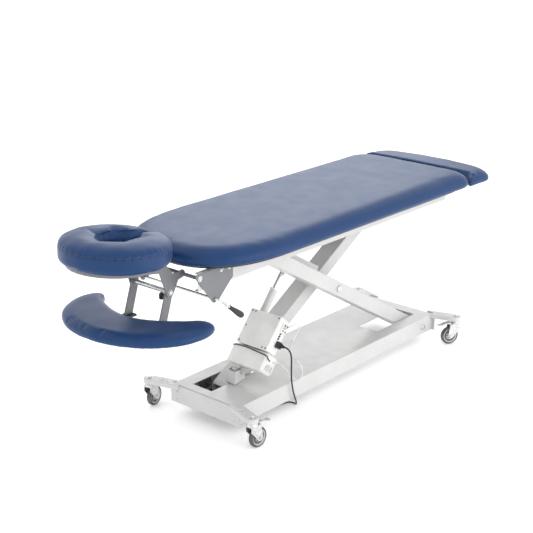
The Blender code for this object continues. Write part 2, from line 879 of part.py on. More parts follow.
def make_pads():
    prism("main_pad_board", pad_outline(0.045), (BOARD_TOP - BOARD, BOARD_TOP - GAP), "XY", PLYWOOD)
    pad = prism("main_pad", pad_outline(), (BOARD_TOP, PAD_TOP), "XY", VINYL)
    bevel(pad, 0.016, 2)
    low = FOOT_PAD_TOP - 0.058
    pad = prism("foot_pad", foot_outline(), (low, FOOT_PAD_TOP), "XY", VINYL)
    bevel(pad, 0.014, 2)
    top = low - GAP
    bar_top = BOARD_TOP - BOARD - 0.0008
    slide = box(
        "foot_pad_slide",
        (PAD_FOOT_X + 0.030, -0.270, bar_top - 0.002),
        (FOOT_PAD_END_X - 0.050, 0.270, top),
        GREY,
    )
    bars = []
    for side in (-1, 1):
        middle = side * 0.148
        bars.append(
            box(
                "slide_bar",
                (PAD_FOOT_X - 0.300, middle - 0.014, bar_top - 0.013),
                (FOOT_PAD_END_X - 0.060, middle + 0.014, bar_top),
                None,
            )
        )
    join(slide, *bars)


def make_head_section():
    axis_x, axis_z = TILT_AXIS
    plate_y = STRUT_Y + 0.0045
    thickness = 0.005
    slope = math.tan(FACE_TILT)
    bolt = (SHELF_AXIS[0] - axis_x, SHELF_AXIS[1] - axis_z)
    deck_z = FACE_BOTTOM - axis_z - 0.006
    far_x = FACE_CENTRE_X - 0.100 - axis_x
    near_x = FACE_CENTRE_X + 0.110 - axis_x
    outline = [
        (far_x, deck_z + 0.100 * slope),
        (far_x, deck_z + 0.100 * slope - 0.018),
        (-0.118, 0.030),
        (-0.092, -0.040),
    ]
    outline += arc(bolt, 0.020, 190, 340, 7)
    outline += [(-0.020, -0.020)]
    outline += arc((0, 0), 0.0165, 300, 430, 6)
    outline += arc((-0.034, 0.040), 0.030, 290, 200, 6)
    outline += [(-0.078, 0.050), (near_x, deck_z - 0.110 * slope)]
    cradle = None
    for side in (-1, 1):
        span = sorted((side * plate_y, side * (plate_y + thickness)))
        plate = prism("cradle_plate", outline, span, "XZ", GREY, location=(axis_x, 0, axis_z))
        if cradle is None:
            plate.name = "face_cradle"
            cradle = plate
        else:
            join(cradle, plate)
    deck = prism(
        "cradle_deck",
        horseshoe(FACE_HALF_LENGTH - 0.045, FACE_HALF_WIDTH - 0.045, 0.012, 0.020),
        (-0.0125, -0.0005),
        "XY",
        None,
        location=(FACE_CENTRE_X, 0, FACE_BOTTOM),
    )
    deck.rotation_euler = (0, FACE_TILT, 0)
    join(cradle, deck)
    bar = rod(
        "cradle_bar",
        (axis_x, -RAIL_Y[0] + 0.002, axis_z),
        (axis_x, RAIL_Y[0] - 0.002, axis_z),
        0.0075,
        None,
        16,
    )
    join(cradle, bar)

    cushion = prism(
        "face_cushion",
        horseshoe(FACE_HALF_LENGTH, FACE_HALF_WIDTH, 0.0, 0.0),
        (0.0, FACE_TOP - FACE_BOTTOM),
        "XY",
        VINYL,
        location=(FACE_CENTRE_X, 0, FACE_BOTTOM),
    )
    cushion.rotation_euler = (0, FACE_TILT, 0)
    bevel(cushion, 0.018, 2)


def horseshoe(half_length, half_width, widen, shift):
    """A horseshoe outline that opens to +X, from its own centre."""
    gap = 0.026 + widen
    hole_length = 0.098 + widen
    hole_width = 0.074 + widen
    hole_x = 0.020
    steps = 28
    start = math.asin(min(0.9, (gap + 0.020) / half_width))
    outer = []
    for i in range(steps + 1):
        t = start + (math.tau - 2 * start) * i / steps
        outer.append((half_length * math.cos(t) - shift, half_width * math.sin(t)))
    begin = math.asin(gap / hole_width)
    inner = []
    for i in range(17):
        t = math.tau - begin - (math.tau - 2 * begin) * i / 16
        inner.append((hole_x + hole_length * math.cos(t) - shift, hole_width * math.sin(t)))
    mouth = half_length * 0.93 - shift
    return outer + [(mouth, -gap)] + inner + [(mouth, gap)]


def shelf_outline(inset=0.0):
    """The arm shelf seen from above: a crescent that opens to +X, from the middle of its outer curve."""
    length = 0.275 - inset
    half = 0.330 - inset
    tip = 0.085 - inset
    outer = []
    steps = 26
    for i in range(steps + 1):
        t = math.radians(90 + 180 * i / steps)
        x = -length * abs(math.cos(t)) ** (2 / 2.05)
        y = half * math.copysign(abs(math.sin(t)) ** (2 / 2.05), math.sin(t))
        outer.append((x, y))
    blunt = 0.036 - inset / 3
    low_tip = arc((tip - blunt, -half + blunt + 0.012), blunt, 300, 460, 7)
    hollow = -0.050 - inset
    inner = []
    reach = low_tip[-1][1]
    for i in range(1, 12):
        y = reach * (1 - i / 6)
        inner.append((hollow + (low_tip[-1][0] - hollow) * abs(y / reach) ** 1.8, y))
    high_tip = [(x, -y) for x, y in reversed(low_tip)]
    return outer + low_tip + inner + high_tip


def make_arm_shelf():
    axis_x, axis_z = SHELF_AXIS
    low = SHELF_TOP - SHELF_THICKNESS
    centre_x = BASE_X - 1.052
    pad = prism(
        "arm_shelf_pad", shelf_outline(), (low, SHELF_TOP), "XY", VINYL, location=(centre_x, 0, 0)
    )
    pad.rotation_euler = (0, 0, SHELF_YAW)
    bevel(pad, 0.014, 2)
    board_top = low - GAP
    board = prism(
        "arm_shelf_board",
        shelf_outline(0.055),
        (board_top - 0.008, board_top),
        "XY",
        PLYWOOD,
        location=(centre_x, 0, 0),
    )
    board.rotation_euler = (0, 0, SHELF_YAW)
    foot_x = axis_x - STRUT_LEAN - centre_x
    for side in (-1, 1):
        tab = box(
            "board_tab",
            (-0.120, side * STRUT_Y - 0.022, board_top - 0.008),
            (foot_x + 0.024, side * STRUT_Y + 0.022, board_top),
            None,
            location=(centre_x, 0, 0),
        )
        join(board, tab)
    for name, side in (("near_shelf_strut", -1), ("far_shelf_strut", 1)):
        bottom = board_top + GAP - axis_z
        outline = [(-0.022 - STRUT_LEAN, bottom), (0.022 - STRUT_LEAN, bottom)]
        outline += arc((0, 0), 0.021, -10, 180, 9)
        span = sorted((side * (STRUT_Y - 0.002), side * (STRUT_Y + 0.004)))
        prism(name, outline, span, "XZ", GREY, 0.0008, location=(axis_x, 0, axis_z))
    reach = STRUT_Y - 0.002 - GAP
    rod("shelf_cross_tube", (axis_x, -reach, axis_z), (axis_x, reach, axis_z), 0.0095, ZINC, 20)
    turned(
        "clamp_knob",
        [
            (0, -0.038),
            (0.009, -0.038),
            (0.011, -0.035),
            (0.011, -0.016),
            (0.005, -0.013),
            (0.005, -0.0100),
            (0, -0.0100),
        ],
        BLACK,
        (axis_x, -0.055, axis_z),
        steps=12,
    )


def make_lever():
    """The cross shaft through both gussets, with a cranked arm and a grip on its near end."""
    axis_x, axis_z = SHAFT_AXIS
    outside = RAIL_Y[1] + 0.004 + 2 * GAP
    far = outside + 0.006
    route = [(0, far, 0), (0, 0, 0), (0, -outside - 0.006, 0), (0.006, -outside - 0.016, -0.003)]
    route += [(0.020, -outside - 0.021, -0.014), (0.060, -outside - 0.022, -0.046)]
    placed = [(axis_x + x, y, axis_z + z) for x, y, z in route]
    tube_along("lever_shaft", placed, 0.0055, ZINC, 3)
    start = Vector(placed[-1]) + Vector((0.0003, 0, -0.00024))
    direction = Vector((0.08, 0, -0.062)).normalized()
    grip = turned(
        "lever_grip",
        [
            (0, 0.0),
            (0.0075, 0.0),
            (0.0085, 0.004),
            (0.0095, 0.040),
            (0.0120, 0.075),
            (0.0110, 0.086),
            (0.0060, 0.092),
            (0, 0.093),
        ],
        BLACK,
        start,
        steps=16,
    )
    grip.rotation_euler = direction.to_track_quat("Z", "Y").to_euler()


def make_cables():
    """The mains lead with its coil and plug, and the two cables between motor and control box."""
    radius = LEAD_DIAMETER / 2
    floor = radius + 0.0003
    coil_x, coil_y = COIL_CENTRE
    along = (UPPER_PIN - LOWER_PIN).normalized()
    out = Vector((-along.z, 0, along.x))

    def on_actuator(distance, y, away):
        place = LOWER_PIN + along * distance + out * away
        return place.x, y, place.z

    lead = [
        on_actuator(0.1610, -0.1864, -0.0020),
        on_actuator(0.1610, -0.1950, -0.0022),
        (BASE_X - 0.4150, -0.2045, 0.3070),
        (BASE_X - 0.4130, -0.2145, 0.2980),
        (BASE_X - 0.4110, -0.2200, 0.2820),
        (BASE_X - 0.4085, -0.2200, 0.2600),
        (BASE_X - 0.4050, -0.2170, 0.2300),
        (BASE_X - 0.4010, -0.2140, 0.1950),
        (BASE_X - 0.3940, -0.2090, 0.1600),
        (BASE_X - 0.3850, -0.2055, 0.1280),
        (BASE_X - 0.3760, -0.2040, 0.0980),
        (BASE_X - 0.3660, -0.2035, 0.0700),
        (BASE_X - 0.3520, -0.2000, 0.0430),
        (BASE_X - 0.3350, -0.1870, 0.0210),
        (BASE_X - 0.3170, -0.1690, 0.0080),
        (BASE_X - 0.3080, -0.1480, floor),
        (BASE_X - 0.3190, -0.1280, floor),
        (BASE_X - 0.3540, -0.1180, floor),
        (BASE_X - 0.3990, -0.1020, floor),
        (BASE_X - 0.4390, -0.0800, floor),
        (coil_x + 0.010, coil_y - COIL_OUTER_RADIUS - radius - 0.0012, floor),
    ]
    points = [(x, y, max(z, floor)) for x, y, z in smooth_route(lead, 58)]
    tube_along("mains_lead", points, radius, BLACK)
    turned_ring(
        "mains_lead_coil",
        [
            (COIL_INNER_RADIUS, 0.002),
            (COIL_INNER_RADIUS + 0.002, 0.0003),
            (COIL_OUTER_RADIUS - 0.002, 0.0003),
            (COIL_OUTER_RADIUS, 0.002),
            (COIL_OUTER_RADIUS, COIL_HEIGHT - 0.002),
            (COIL_OUTER_RADIUS - 0.002, COIL_HEIGHT),
            (COIL_INNER_RADIUS + 0.002, COIL_HEIGHT),
            (COIL_INNER_RADIUS, COIL_HEIGHT - 0.002),
        ],
        BLACK,
        (coil_x, coil_y, 0),
        steps=28,
    )
    plug = turned(
        "mains_plug",
        [
            (0, 0.0),
            (0.0045, 0.0),
            (0.0065, 0.022),
            (0.0150, 0.030),
            (0.0175, 0.036),
            (0.0175, 0.056),
            (0.0165, 0.058),
            (0, 0.058),
        ],
        BLACK,
        (coil_x - COIL_OUTER_RADIUS - 0.0190, coil_y - 0.020, 0.0180),
        steps=20,
    )
    plug.rotation_euler = (math.pi / 2, 0, math.pi)
    for label, offset in (("left", -0.0095), ("right", 0.0095)):
        pin = turned(
            "plug_pin_" + label,
            [(0, 0.050), (0.0024, 0.050), (0.0024, 0.075), (0.0014, 0.077), (0, 0.077)],
            None,
            plug.location + Vector((offset, 0, 0)),
            steps=10,
        )
        pin.rotation_euler = plug.rotation_euler
        join(plug, pin)

    motor_lead = [
        on_actuator(0.094, 0.030, 0.0495),
        on_actuator(0.099, 0.010, 0.0492),
        on_actuator(0.101, -0.040, 0.0492),
        on_actuator(0.098, -0.090, 0.0492),
        on_actuator(0.094, -0.150, 0.0492),
        on_actuator(0.090, -0.1640, 0.0460),
        on_actuator(0.084, -0.1655, 0.0380),
        on_actuator(0.080, -0.1655, 0.0200),
    ]
    tube_along("motor_cable", smooth_route(motor_lead, 25), 0.0025, BLACK, 2)
    handset = [
        on_actuator(0.2365, -0.1495, 0.0060),
        on_actuator(0.2370, -0.1570, 0.0060),
        (BASE_X - 0.3660, -0.1665, 0.3785),
        (BASE_X - 0.3480, -0.1740, 0.3860),
        (BASE_X - 0.3200, -0.1760, 0.3820),
        (BASE_X - 0.3080, -0.1740, 0.3620),
        (BASE_X - 0.3180, -0.1710, 0.3370),
        (BASE_X - 0.3420, -0.1690, 0.3120),
        (BASE_X - 0.3600, -0.1690, 0.2880),
        (BASE_X - 0.3620, -0.1700, 0.2620),
        (BASE_X - 0.3460, -0.1740, 0.2400),
        (BASE_X - 0.3240, -0.1860, 0.2150),
        (BASE_X - 0.3080, -0.1935, 0.1820),
        (BASE_X - 0.3060, -0.1950, 0.1550),
        (BASE_X - 0.3200, -0.1950, 0.1380),
        (BASE_X - 0.3450, -0.1950, 0.1400),
        (BASE_X - 0.3720, -0.1945, 0.1620),
        (BASE_X - 0.4000, -0.1895, 0.1980),
        (BASE_X - 0.4250, -0.1800, 0.2300),
        (BASE_X - 0.4470, -0.1750, 0.2465),
        on_actuator(0.0850, -0.1690, -0.0100),
        on_actuator(0.0850, -0.1626, -0.0100),
    ]
    tube_along("handset_cable", smooth_route(handset, 58), 0.0024, CABLE_GREY, 2)


make_tray()
make_end_plate("front_end_plate", -1)
make_end_plate("rear_end_plate", 1)
CASTORS = (
    ("front_near", -1, -1, math.radians(-3), True),
    ("front_far", -1, 1, math.radians(12), False),
    ("rear_near", 1, -1, math.radians(150), True),
    ("rear_far", 1, 1, math.radians(200), False),
)
for title, end_sign, side_sign, heading_angle, has_brake in CASTORS:
    make_castor_arm(title + "_castor_arm", end_sign, side_sign)
    make_castor(title, end_sign, side_sign, heading_angle, has_brake)
make_lift()
actuator_direction, actuator_turn = make_actuator()
make_brackets(actuator_direction)
make_top_frame()
make_pads()
make_head_section()
make_arm_shelf()
make_lever()
make_cables()
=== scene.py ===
"""Looks of the electric treatment table: upholstery, cords, finishes, small hardware, light and camera.

Metres, in the frame's own axes: the head end is at -X, the actuator side at -Y, the floor at z = 0.
"""

import math

import bmesh
import bpy
import numpy as np
from mathutils import Matrix, Vector


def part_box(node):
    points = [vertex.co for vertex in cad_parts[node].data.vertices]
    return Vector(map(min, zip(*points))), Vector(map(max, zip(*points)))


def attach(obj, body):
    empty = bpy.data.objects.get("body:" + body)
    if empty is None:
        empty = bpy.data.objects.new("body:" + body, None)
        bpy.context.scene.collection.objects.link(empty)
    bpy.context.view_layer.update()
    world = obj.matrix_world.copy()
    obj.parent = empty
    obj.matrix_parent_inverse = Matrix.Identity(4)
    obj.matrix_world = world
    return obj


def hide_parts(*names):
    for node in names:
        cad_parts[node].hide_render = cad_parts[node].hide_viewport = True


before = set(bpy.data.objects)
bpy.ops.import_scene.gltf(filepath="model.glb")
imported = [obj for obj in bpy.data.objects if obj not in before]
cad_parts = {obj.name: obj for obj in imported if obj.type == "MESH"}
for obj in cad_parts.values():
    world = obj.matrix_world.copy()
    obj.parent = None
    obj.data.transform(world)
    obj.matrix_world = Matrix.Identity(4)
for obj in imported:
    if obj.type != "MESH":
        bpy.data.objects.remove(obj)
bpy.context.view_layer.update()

SIM_FRAMES = 20
GAP = 0.0003

# Places taken from the frame
TRAY_LOW, TRAY_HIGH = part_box("base_tray")
BASE_X = (TRAY_LOW.x + TRAY_HIGH.x) / 2
PAD_LOW, PAD_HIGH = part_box("main_pad")
FOOT_LOW, FOOT_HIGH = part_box("foot_pad")
SHELF_LOW, SHELF_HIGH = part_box("arm_shelf_pad")

# Main pad and foot pad, as the CAD outlines them
PAD_HALF_WIDTH = 0.340
PAD_HEAD_X = BASE_X - 0.958
PAD_FOOT_X = BASE_X + 0.800
HEAD_CURVE_X = BASE_X - 0.500
HEAD_CURVE_POWER = 2.6
FOOT_PAD_END_X = BASE_X + 1.000
FOOT_BOW = 0.022

# Face cushion and arm shelf
FACE_CENTRE_X = BASE_X - 1.1725
FACE_HALF_LENGTH = 0.2105
FACE_HALF_WIDTH = 0.222
FACE_BOTTOM = 0.847
FACE_CROWN = 0.096
FACE_TILT = math.radians(3.4)
FACE_SEAM = 0.067
SEAM_DIAMETER = 0.0022
FACE_HOLE_X = 0.020
FACE_HOLE_LENGTH = 0.084
FACE_HOLE_WIDTH = 0.062
SHELF_CENTRE_X = BASE_X - 1.052
SHELF_YAW = math.radians(6)

# Actuator: its lower pin, its direction, and the direction away from the tube on the front side
LOWER_PIN = Vector((BASE_X - 0.520, -0.004, 0.188))
UPPER_PIN = Vector((BASE_X - 0.174, -0.004, 0.606))
ALONG = (UPPER_PIN - LOWER_PIN).normalized()
OUT = Vector((-ALONG.z, 0, ALONG.x))
TUBE_END = 0.385

# Cords
LEAD_DIAMETER = 0.007
COIL_CENTRE = (BASE_X - 0.494, -0.010)
COIL_RADII = (0.0425, 0.0345)
COIL_LAYERS = 4
COIL_LAYER_HEIGHT = 0.0071
HANDSET_DIAMETER = 0.0048
MOTOR_CABLE_DIAMETER = 0.0050

# Castors: name, end of the table, side, and heading of the wheel
WHEEL_RADIUS = 0.044
CASTOR_TRAIL = 0.030
STEM_X = 0.743
STEM_Y = 0.297
CASTORS = (
    ("front_near", -1, -1, math.radians(-3)),
    ("front_far", -1, 1, math.radians(12)),
    ("rear_near", 1, -1, math.radians(150)),
    ("rear_far", 1, 1, math.radians(200)),
)

# Light and camera: degrees, and millimetres for the lens
WORLD_STRENGTH = 1.18
FLOOR_GLOW = 0.26
CAMERA_PLACE = (-3.8717, -3.2784, 2.3246)
CAMERA_ANGLES = (70.92, 0.0, -48.81)
FOCAL_LENGTH = 83.01


def on_actuator(distance, y, away):
    """A point a distance up the actuator, at a world y, and away from its tube to the front."""
    place = LOWER_PIN + ALONG * distance + OUT * away
    return Vector((place.x, y, place.z))


# ---------------------------------------------------------------- materials


class Finish:
    """A Principled material and the texture nodes that vary it over the surface."""

    def __init__(self, name, colour, roughness, metallic=0.0):
        self.material = bpy.data.materials.new(name)
        self.material.use_nodes = True
        self.nodes = self.material.node_tree.nodes
        self.links = self.material.node_tree.links
        self.shader = self.nodes["Principled BSDF"]
        self.set("Base Color", (*colour, 1.0))
        self.set("Roughness", roughness)
        self.set("Metallic", metallic)
        self.coordinates = self.nodes.new("ShaderNodeTexCoord")
        self.normal = None

    def set(self, socket, value):
        self.shader.inputs[socket].default_value = value

    def stretched(self, stretch):
        mapping = self.nodes.new("ShaderNodeMapping")
        mapping.inputs["Scale"].default_value = stretch
        self.links.new(self.coordinates.outputs["Object"], mapping.inputs["Vector"])
        return mapping.outputs["Vector"]

    def noise(self, scale, detail=3.0, stretch=(1, 1, 1), distortion=0.0):
        made = self.nodes.new("ShaderNodeTexNoise")
        made.inputs["Scale"].default_value = scale
        made.inputs["Detail"].default_value = detail
        made.inputs["Distortion"].default_value = distortion
        self.links.new(self.stretched(stretch), made.inputs["Vector"])
        return made.outputs["Fac"]

    def cells(self, scale, feature="F1", stretch=(1, 1, 1)):
        made = self.nodes.new("ShaderNodeTexVoronoi")
        made.feature = feature
        made.inputs["Scale"].default_value = scale
        self.links.new(self.stretched(stretch), made.inputs["Vector"])
        return made.outputs["Distance"]

    def waves(self, scale, distortion, direction="Z", stretch=(1, 1, 1)):
        made = self.nodes.new("ShaderNodeTexWave")
        made.bands_direction = direction
        made.inputs["Scale"].default_value = scale
        made.inputs["Distortion"].default_value = distortion
        self.links.new(self.stretched(stretch), made.inputs["Vector"])
        return made.outputs["Fac"]

    def ramp(self, value, low, high, start=0.35, end=0.65):
        """Maps a texture value that runs from start to end onto low to high."""
        made = self.nodes.new("ShaderNodeMapRange")
        made.inputs["From Min"].default_value = start
        made.inputs["From Max"].default_value = end
        made.inputs["To Min"].default_value = low
        made.inputs["To Max"].default_value = high
        self.links.new(value, made.inputs["Value"])
        return made.outputs["Result"]

    def tint(self, value, dark, light, start=0.35, end=0.65):
        """Colours the surface between two colours by a texture value."""
        mix = self.nodes.new("ShaderNodeMix")
        mix.data_type = "RGBA"
        mix.inputs[6].default_value = (*dark, 1.0)
        mix.inputs[7].default_value = (*light, 1.0)
        self.links.new(self.ramp(value, 0.0, 1.0, start, end), mix.inputs[0])
        self.links.new(mix.outputs[2], self.shader.inputs["Base Color"])
        return mix.outputs[2]

    def vary_roughness(self, value, low, high, start=0.35, end=0.65):
        self.links.new(self.ramp(value, low, high, start, end), self.shader.inputs["Roughness"])

    def bump(self, value, distance, strength=1.0):
        """Adds a layer of relief, of that depth in metres, on top of the last one."""
        made = self.nodes.new("ShaderNodeBump")
        made.inputs["Distance"].default_value = distance
        made.inputs["Strength"].default_value = strength
        self.links.new(value, made.inputs["Height"])
        if self.normal:
            self.links.new(self.normal, made.inputs["Normal"])
        self.normal = made.outputs["Normal"]
        self.links.new(self.normal, self.shader.inputs["Normal"])


def shade(colour, amount):
    return tuple(min(1.0, channel * amount) for channel in colour)


def powder_coat(name, colour, roughness):
    """Sprayed and baked paint: orange peel, a trace of cloudiness, and duller patches."""
    made = Finish(name, colour, roughness)
    made.tint(made.noise(7.0, 4.0), shade(colour, 0.955), shade(colour, 1.025))
    made.vary_roughness(made.noise(23.0, 4.0), roughness - 0.06, roughness + 0.09)
    made.bump(made.noise(420.0, 2.0), 0.00016, 0.5)
    made.bump(made.noise(1500.0, 2.0), 0.00004, 0.5)
    made.set("Coat Weight", 0.12)
    made.set("Coat Roughness", 0.18)
    return made.material


def zinc_plate():
    """Bright zinc: a mottled passivation tint over fine rolling marks."""
    made = Finish("zinc_plate", (0.62, 0.63, 0.65), 0.30, 1.0)
    made.tint(made.cells(85.0), (0.50, 0.52, 0.55), (0.73, 0.73, 0.71), 0.0, 0.8)
    made.vary_roughness(made.noise(60.0, 5.0), 0.22, 0.44)
    made.bump(made.noise(900.0, 2.0, (1, 1, 0.15)), 0.00005, 0.6)
    return made.material


def chrome():
    """The ground and plated actuator rod, with a film of grease in faint bands."""
    made = Finish("chrome_rod", (0.80, 0.81, 0.82), 0.09, 1.0)
    made.tint(made.noise(16.0, 3.0), (0.74, 0.75, 0.76), (0.84, 0.85, 0.85))
    made.vary_roughness(made.noise(30.0, 4.0, (1, 6, 1)), 0.06, 0.17)
    made.bump(made.noise(1800.0, 1.0), 0.00001, 0.5)
    return made.material


def tyre_rubber():
    made = Finish("tyre_rubber", (0.075, 0.077, 0.082), 0.68)
    made.tint(made.noise(38.0, 6.0), (0.055, 0.057, 0.062), (0.115, 0.117, 0.122))
    made.vary_roughness(made.noise(55.0, 4.0), 0.56, 0.80)
    made.bump(made.noise(700.0, 3.0), 0.00010, 0.6)
    return made.material


def moulded(name, colour, roughness, grain, depth):
    """Injection-moulded plastic with a spark-eroded grain and slight flow marks."""
    made = Finish(name, colour, roughness)
    made.tint(made.noise(12.0, 3.0), shade(colour, 0.93), shade(colour, 1.05))
    made.vary_roughness(made.noise(34.0, 3.0), roughness - 0.07, roughness + 0.08)
    made.bump(made.noise(grain, 2.0), depth, 0.7)
    return made.material


def cable_sheath(name, colour):
    """Extruded PVC: smooth, with a faint ripple and a dusty bloom."""
    made = Finish(name, colour, 0.40)
    made.tint(made.noise(28.0, 4.0), shade(colour, 0.85), shade(colour, 1.25))
    made.vary_roughness(made.noise(90.0, 3.0), 0.32, 0.52)
    made.bump(made.noise(260.0, 2.0), 0.00008, 0.6)
    return made.material


def vinyl():
    """Upholstery vinyl: a pebbled leather grain, soft folds, and a satin sheen."""
    made = Finish("blue_vinyl", (0.008, 0.036, 0.120), 0.40)
    made.tint(made.noise(4.5, 4.0), (0.0072, 0.0340, 0.115), (0.0088, 0.0380, 0.125))
    made.vary_roughness(made.noise(14.0, 5.0), 0.385, 0.425)
    made.bump(made.noise(26.0, 3.0), 0.0003, 0.20)
    made.bump(made.cells(620.0, "SMOOTH_F1"), 0.00022, 0.45)
    made.bump(made.noise(1900.0, 2.0), 0.00006, 0.4)
    made.set("Sheen Weight", 0.05)
    made.set("Sheen Roughness", 0.40)
    made.set("Sheen Tint", (0.86, 0.90, 1.0, 1.0))
    made.set("Specular IOR Level", 0.36)
    made.set("Specular Tint", (0.66, 0.80, 1.0, 1.0))
    return made.material


def plywood():
    """Black-stained ply: thin glue lines through its thickness and long grain along the table."""
    made = Finish("stained_plywood", (0.030, 0.028, 0.027), 0.58)
    made.tint(made.waves(330.0, 0.4, "Z"), (0.018, 0.016, 0.015), (0.045, 0.040, 0.036), 0.05, 0.6)
    made.vary_roughness(made.noise(40.0, 4.0), 0.50, 0.70)
    made.bump(made.noise(55.0, 5.0, (0.12, 1, 1), 0.6), 0.00025, 0.5)
    return made.material


def paper_label():
    made = Finish("satin_label", (0.66, 0.67, 0.68), 0.45)
    made.tint(made.noise(60.0, 3.0), (0.60, 0.61, 0.62), (0.72, 0.73, 0.73))
    made.vary_roughness(made.noise(120.0, 2.0), 0.38, 0.52)
    made.bump(made.noise(900.0, 2.0), 0.00003, 0.5)
    return made.material


WHITE = powder_coat("white_powder_coat", (0.58, 0.58, 0.575), 0.38)
# A darker copy of the powder coat for the parts under the pads: painted shade.
SHADED_COAT = powder_coat("powder_coat_painted_shade", (0.17, 0.175, 0.185), 0.40)
ZINC = zinc_plate()
CHROME = chrome()
TYRE = tyre_rubber()
HUB = moulded("hub_plastic", (0.56, 0.57, 0.59), 0.42, 650.0, 0.00008)
CREAM = moulded("actuator_plastic", (0.78, 0.78, 0.76), 0.46, 1300.0, 0.00009)
BLACK = moulded("black_plastic", (0.018, 0.018, 0.020), 0.42, 900.0, 0.00009)
SHEATH = cable_sheath("black_cable_sheath", (0.016, 0.016, 0.018))
PALE_SHEATH = cable_sheath("grey_cable_sheath", (0.60, 0.61, 0.62))
VINYL = vinyl()
PLYWOOD = plywood()
LABEL = paper_label()
SCREW = powder_coat("black_oxide_screw", (0.045, 0.046, 0.050), 0.36)

# What each carried-over CAD node is made of, by the last words of its name
NODE_FINISHES = (
    (("tyre",), TYRE),
    (("hub",), HUB),
    (("fork", "brake_pedal", "shaft", "bolt", "cross_tube"), ZINC),
    (("actuator_rod",), CHROME),
    (("motor_housing", "control_box", "control_box_cover"), CREAM),
    (("lever_grip", "mains_connector", "mains_plug", "knob"), BLACK),
    (("pad_board", "shelf_board"), PLYWOOD),
    (("pad", "cushion"), VINYL),
    (("lead", "coil", "motor_cable"), SHEATH),
    (("handset_cable",), PALE_SHEATH),
    # gussets, struts, cradle, roller axle and pad slide under the pads take the darker copy of the powder
    # coat: painted shade
    (("gusset", "strut", "face_cradle", "roller_axle", "pad_slide"), SHADED_COAT),
)


def dress_nodes():
    for name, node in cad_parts.items():
        finish = WHITE
        for endings, candidate in NODE_FINISHES:
            if name.endswith(endings):
                finish = candidate
                break
        node.data.materials.clear()
        node.data.materials.append(finish)


# ---------------------------------------------------------------- mesh tools


def add_piece(name, mesh, finish, body):
    """Links a finished mesh as a piece that rides on a CAD body."""
    made = bpy.data.objects.new(name, mesh)
    mesh.materials.clear()
    mesh.materials.append(finish)
    bpy.context.scene.collection.objects.link(made)
    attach(made, body)
    return made


def hardware(name, bm, finish, body):
    """A piece from a bmesh of turned and pushed solids, smooth except at its edges."""
    bmesh.ops.recalc_face_normals(bm, faces=bm.faces)
    mesh = bpy.data.meshes.new(name)
    bm.to_mesh(mesh)
    bm.free()
    mesh.shade_smooth()
    mesh.set_sharp_from_angle(angle=math.radians(38))
    return add_piece(name, mesh, finish, body)


def tube_curve(name, points, diameter, finish, body, resolution=4):
    """A round cord or thread along points, as a piece that rides on a CAD body."""
    curve = bpy.data.curves.new(name, "CURVE")
    curve.dimensions = "3D"
    curve.bevel_depth = diameter / 2
    curve.bevel_resolution = resolution
    curve.use_fill_caps = True
    spline = curve.splines.new("POLY")
    spline.points.add(len(points) - 1)
    for point, place in zip(spline.points, points):
        point.co = (*place, 1.0)
    spline.use_smooth = True
    curve.materials.append(finish)
    made = bpy.data.objects.new(name, curve)
    bpy.context.scene.collection.objects.link(made)
    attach(made, body)
    return made


def facing(centre, axis):
    """The place of a solid whose own Z points along axis."""
    turn = Vector(axis).to_track_quat("Z", "Y").to_matrix().to_4x4()
    return Matrix.Translation(Vector(centre)) @ turn


def add_turned(bm, profile, place, steps=24, lobes=0, lobe_depth=0.0):
    """Adds a solid turned from (radius, height) points, which may have lobes round it."""
    rings = []
    for radius, height in profile:
        if radius == 0:
            rings.append([bm.verts.new(place @ Vector((0, 0, height)))])
            continue
        ring = []
        for i in range(steps):
            a = math.tau * i / steps
            r = radius + (lobe_depth * math.cos(lobes * a) if lobes else 0.0)
            ring.append(bm.verts.new(place @ Vector((r * math.cos(a), r * math.sin(a), height))))
        rings.append(ring)
    for low, high in zip(rings, rings[1:]):
        for i in range(steps):
            j = (i + 1) % steps
            corners = [low[i % len(low)], low[j % len(low)], high[j % len(high)], high[i % len(high)]]
            bm.faces.new(list(dict.fromkeys(corners)))
    if len(rings[0]) > 1 and len(rings[-1]) > 1:
        for i in range(steps):
            j = (i + 1) % steps
            bm.faces.new((rings[-1][i], rings[-1][j], rings[0][j], rings[0][i]))


def add_bevelled_box(bm, low, high, place, edge):
    """Adds a box with rounded edges between two corners of its place."""
    made = bmesh.ops.create_cube(bm, size=1.0)
    for vert in made["verts"]:
        vert.co = place @ Vector([low[i] + (vert.co[i] + 0.5) * (high[i] - low[i]) for i in range(3)])
    edges = {e for vert in made["verts"] for e in vert.link_edges}
    bmesh.ops.bevel(bm, geom=list(edges), offset=edge, segments=2, affect="EDGES", profile=0.5)


def button_head(radius, height):
    """A button-head screw with a round-bottomed drive recess, seated at height 0."""
    return [
        (0, height * 0.45),
        (radius * 0.40, height * 0.50),
        (radius * 0.44, height * 0.98),
        (radius * 0.62, height),
        (radius * 0.84, height * 0.80),
        (radius * 0.98, height * 0.35),
        (radius, 0.0),
        (0, 0.0),
    ]


def washer_profile(inner, outer, thickness):
    edge = thickness * 0.2
    return [
        (inner, 0),
        (outer - edge, 0),
        (outer, edge),
        (outer, thickness - edge),
        (outer - edge, thickness),
        (inner, thickness),
    ]


def hex_profile(radius, height):
    """A hexagon head or nut, turned in six steps and chamfered at its top."""
    return [(0, 0), (radius, 0), (radius, height * 0.82), (radius * 0.88, height), (0, height)]


def arc(centre, radius, start, end, count):
    """Points on an arc, angles in degrees."""
    angles = [math.radians(start + (end - start) * i / (count - 1)) for i in range(count)]
    return [(centre[0] + radius * math.cos(a), centre[1] + radius * math.sin(a)) for a in angles]


def mirrored(outline):
    return [(x, -y) for x, y in reversed(outline)]


# ---------------------------------------------------------------- upholstery


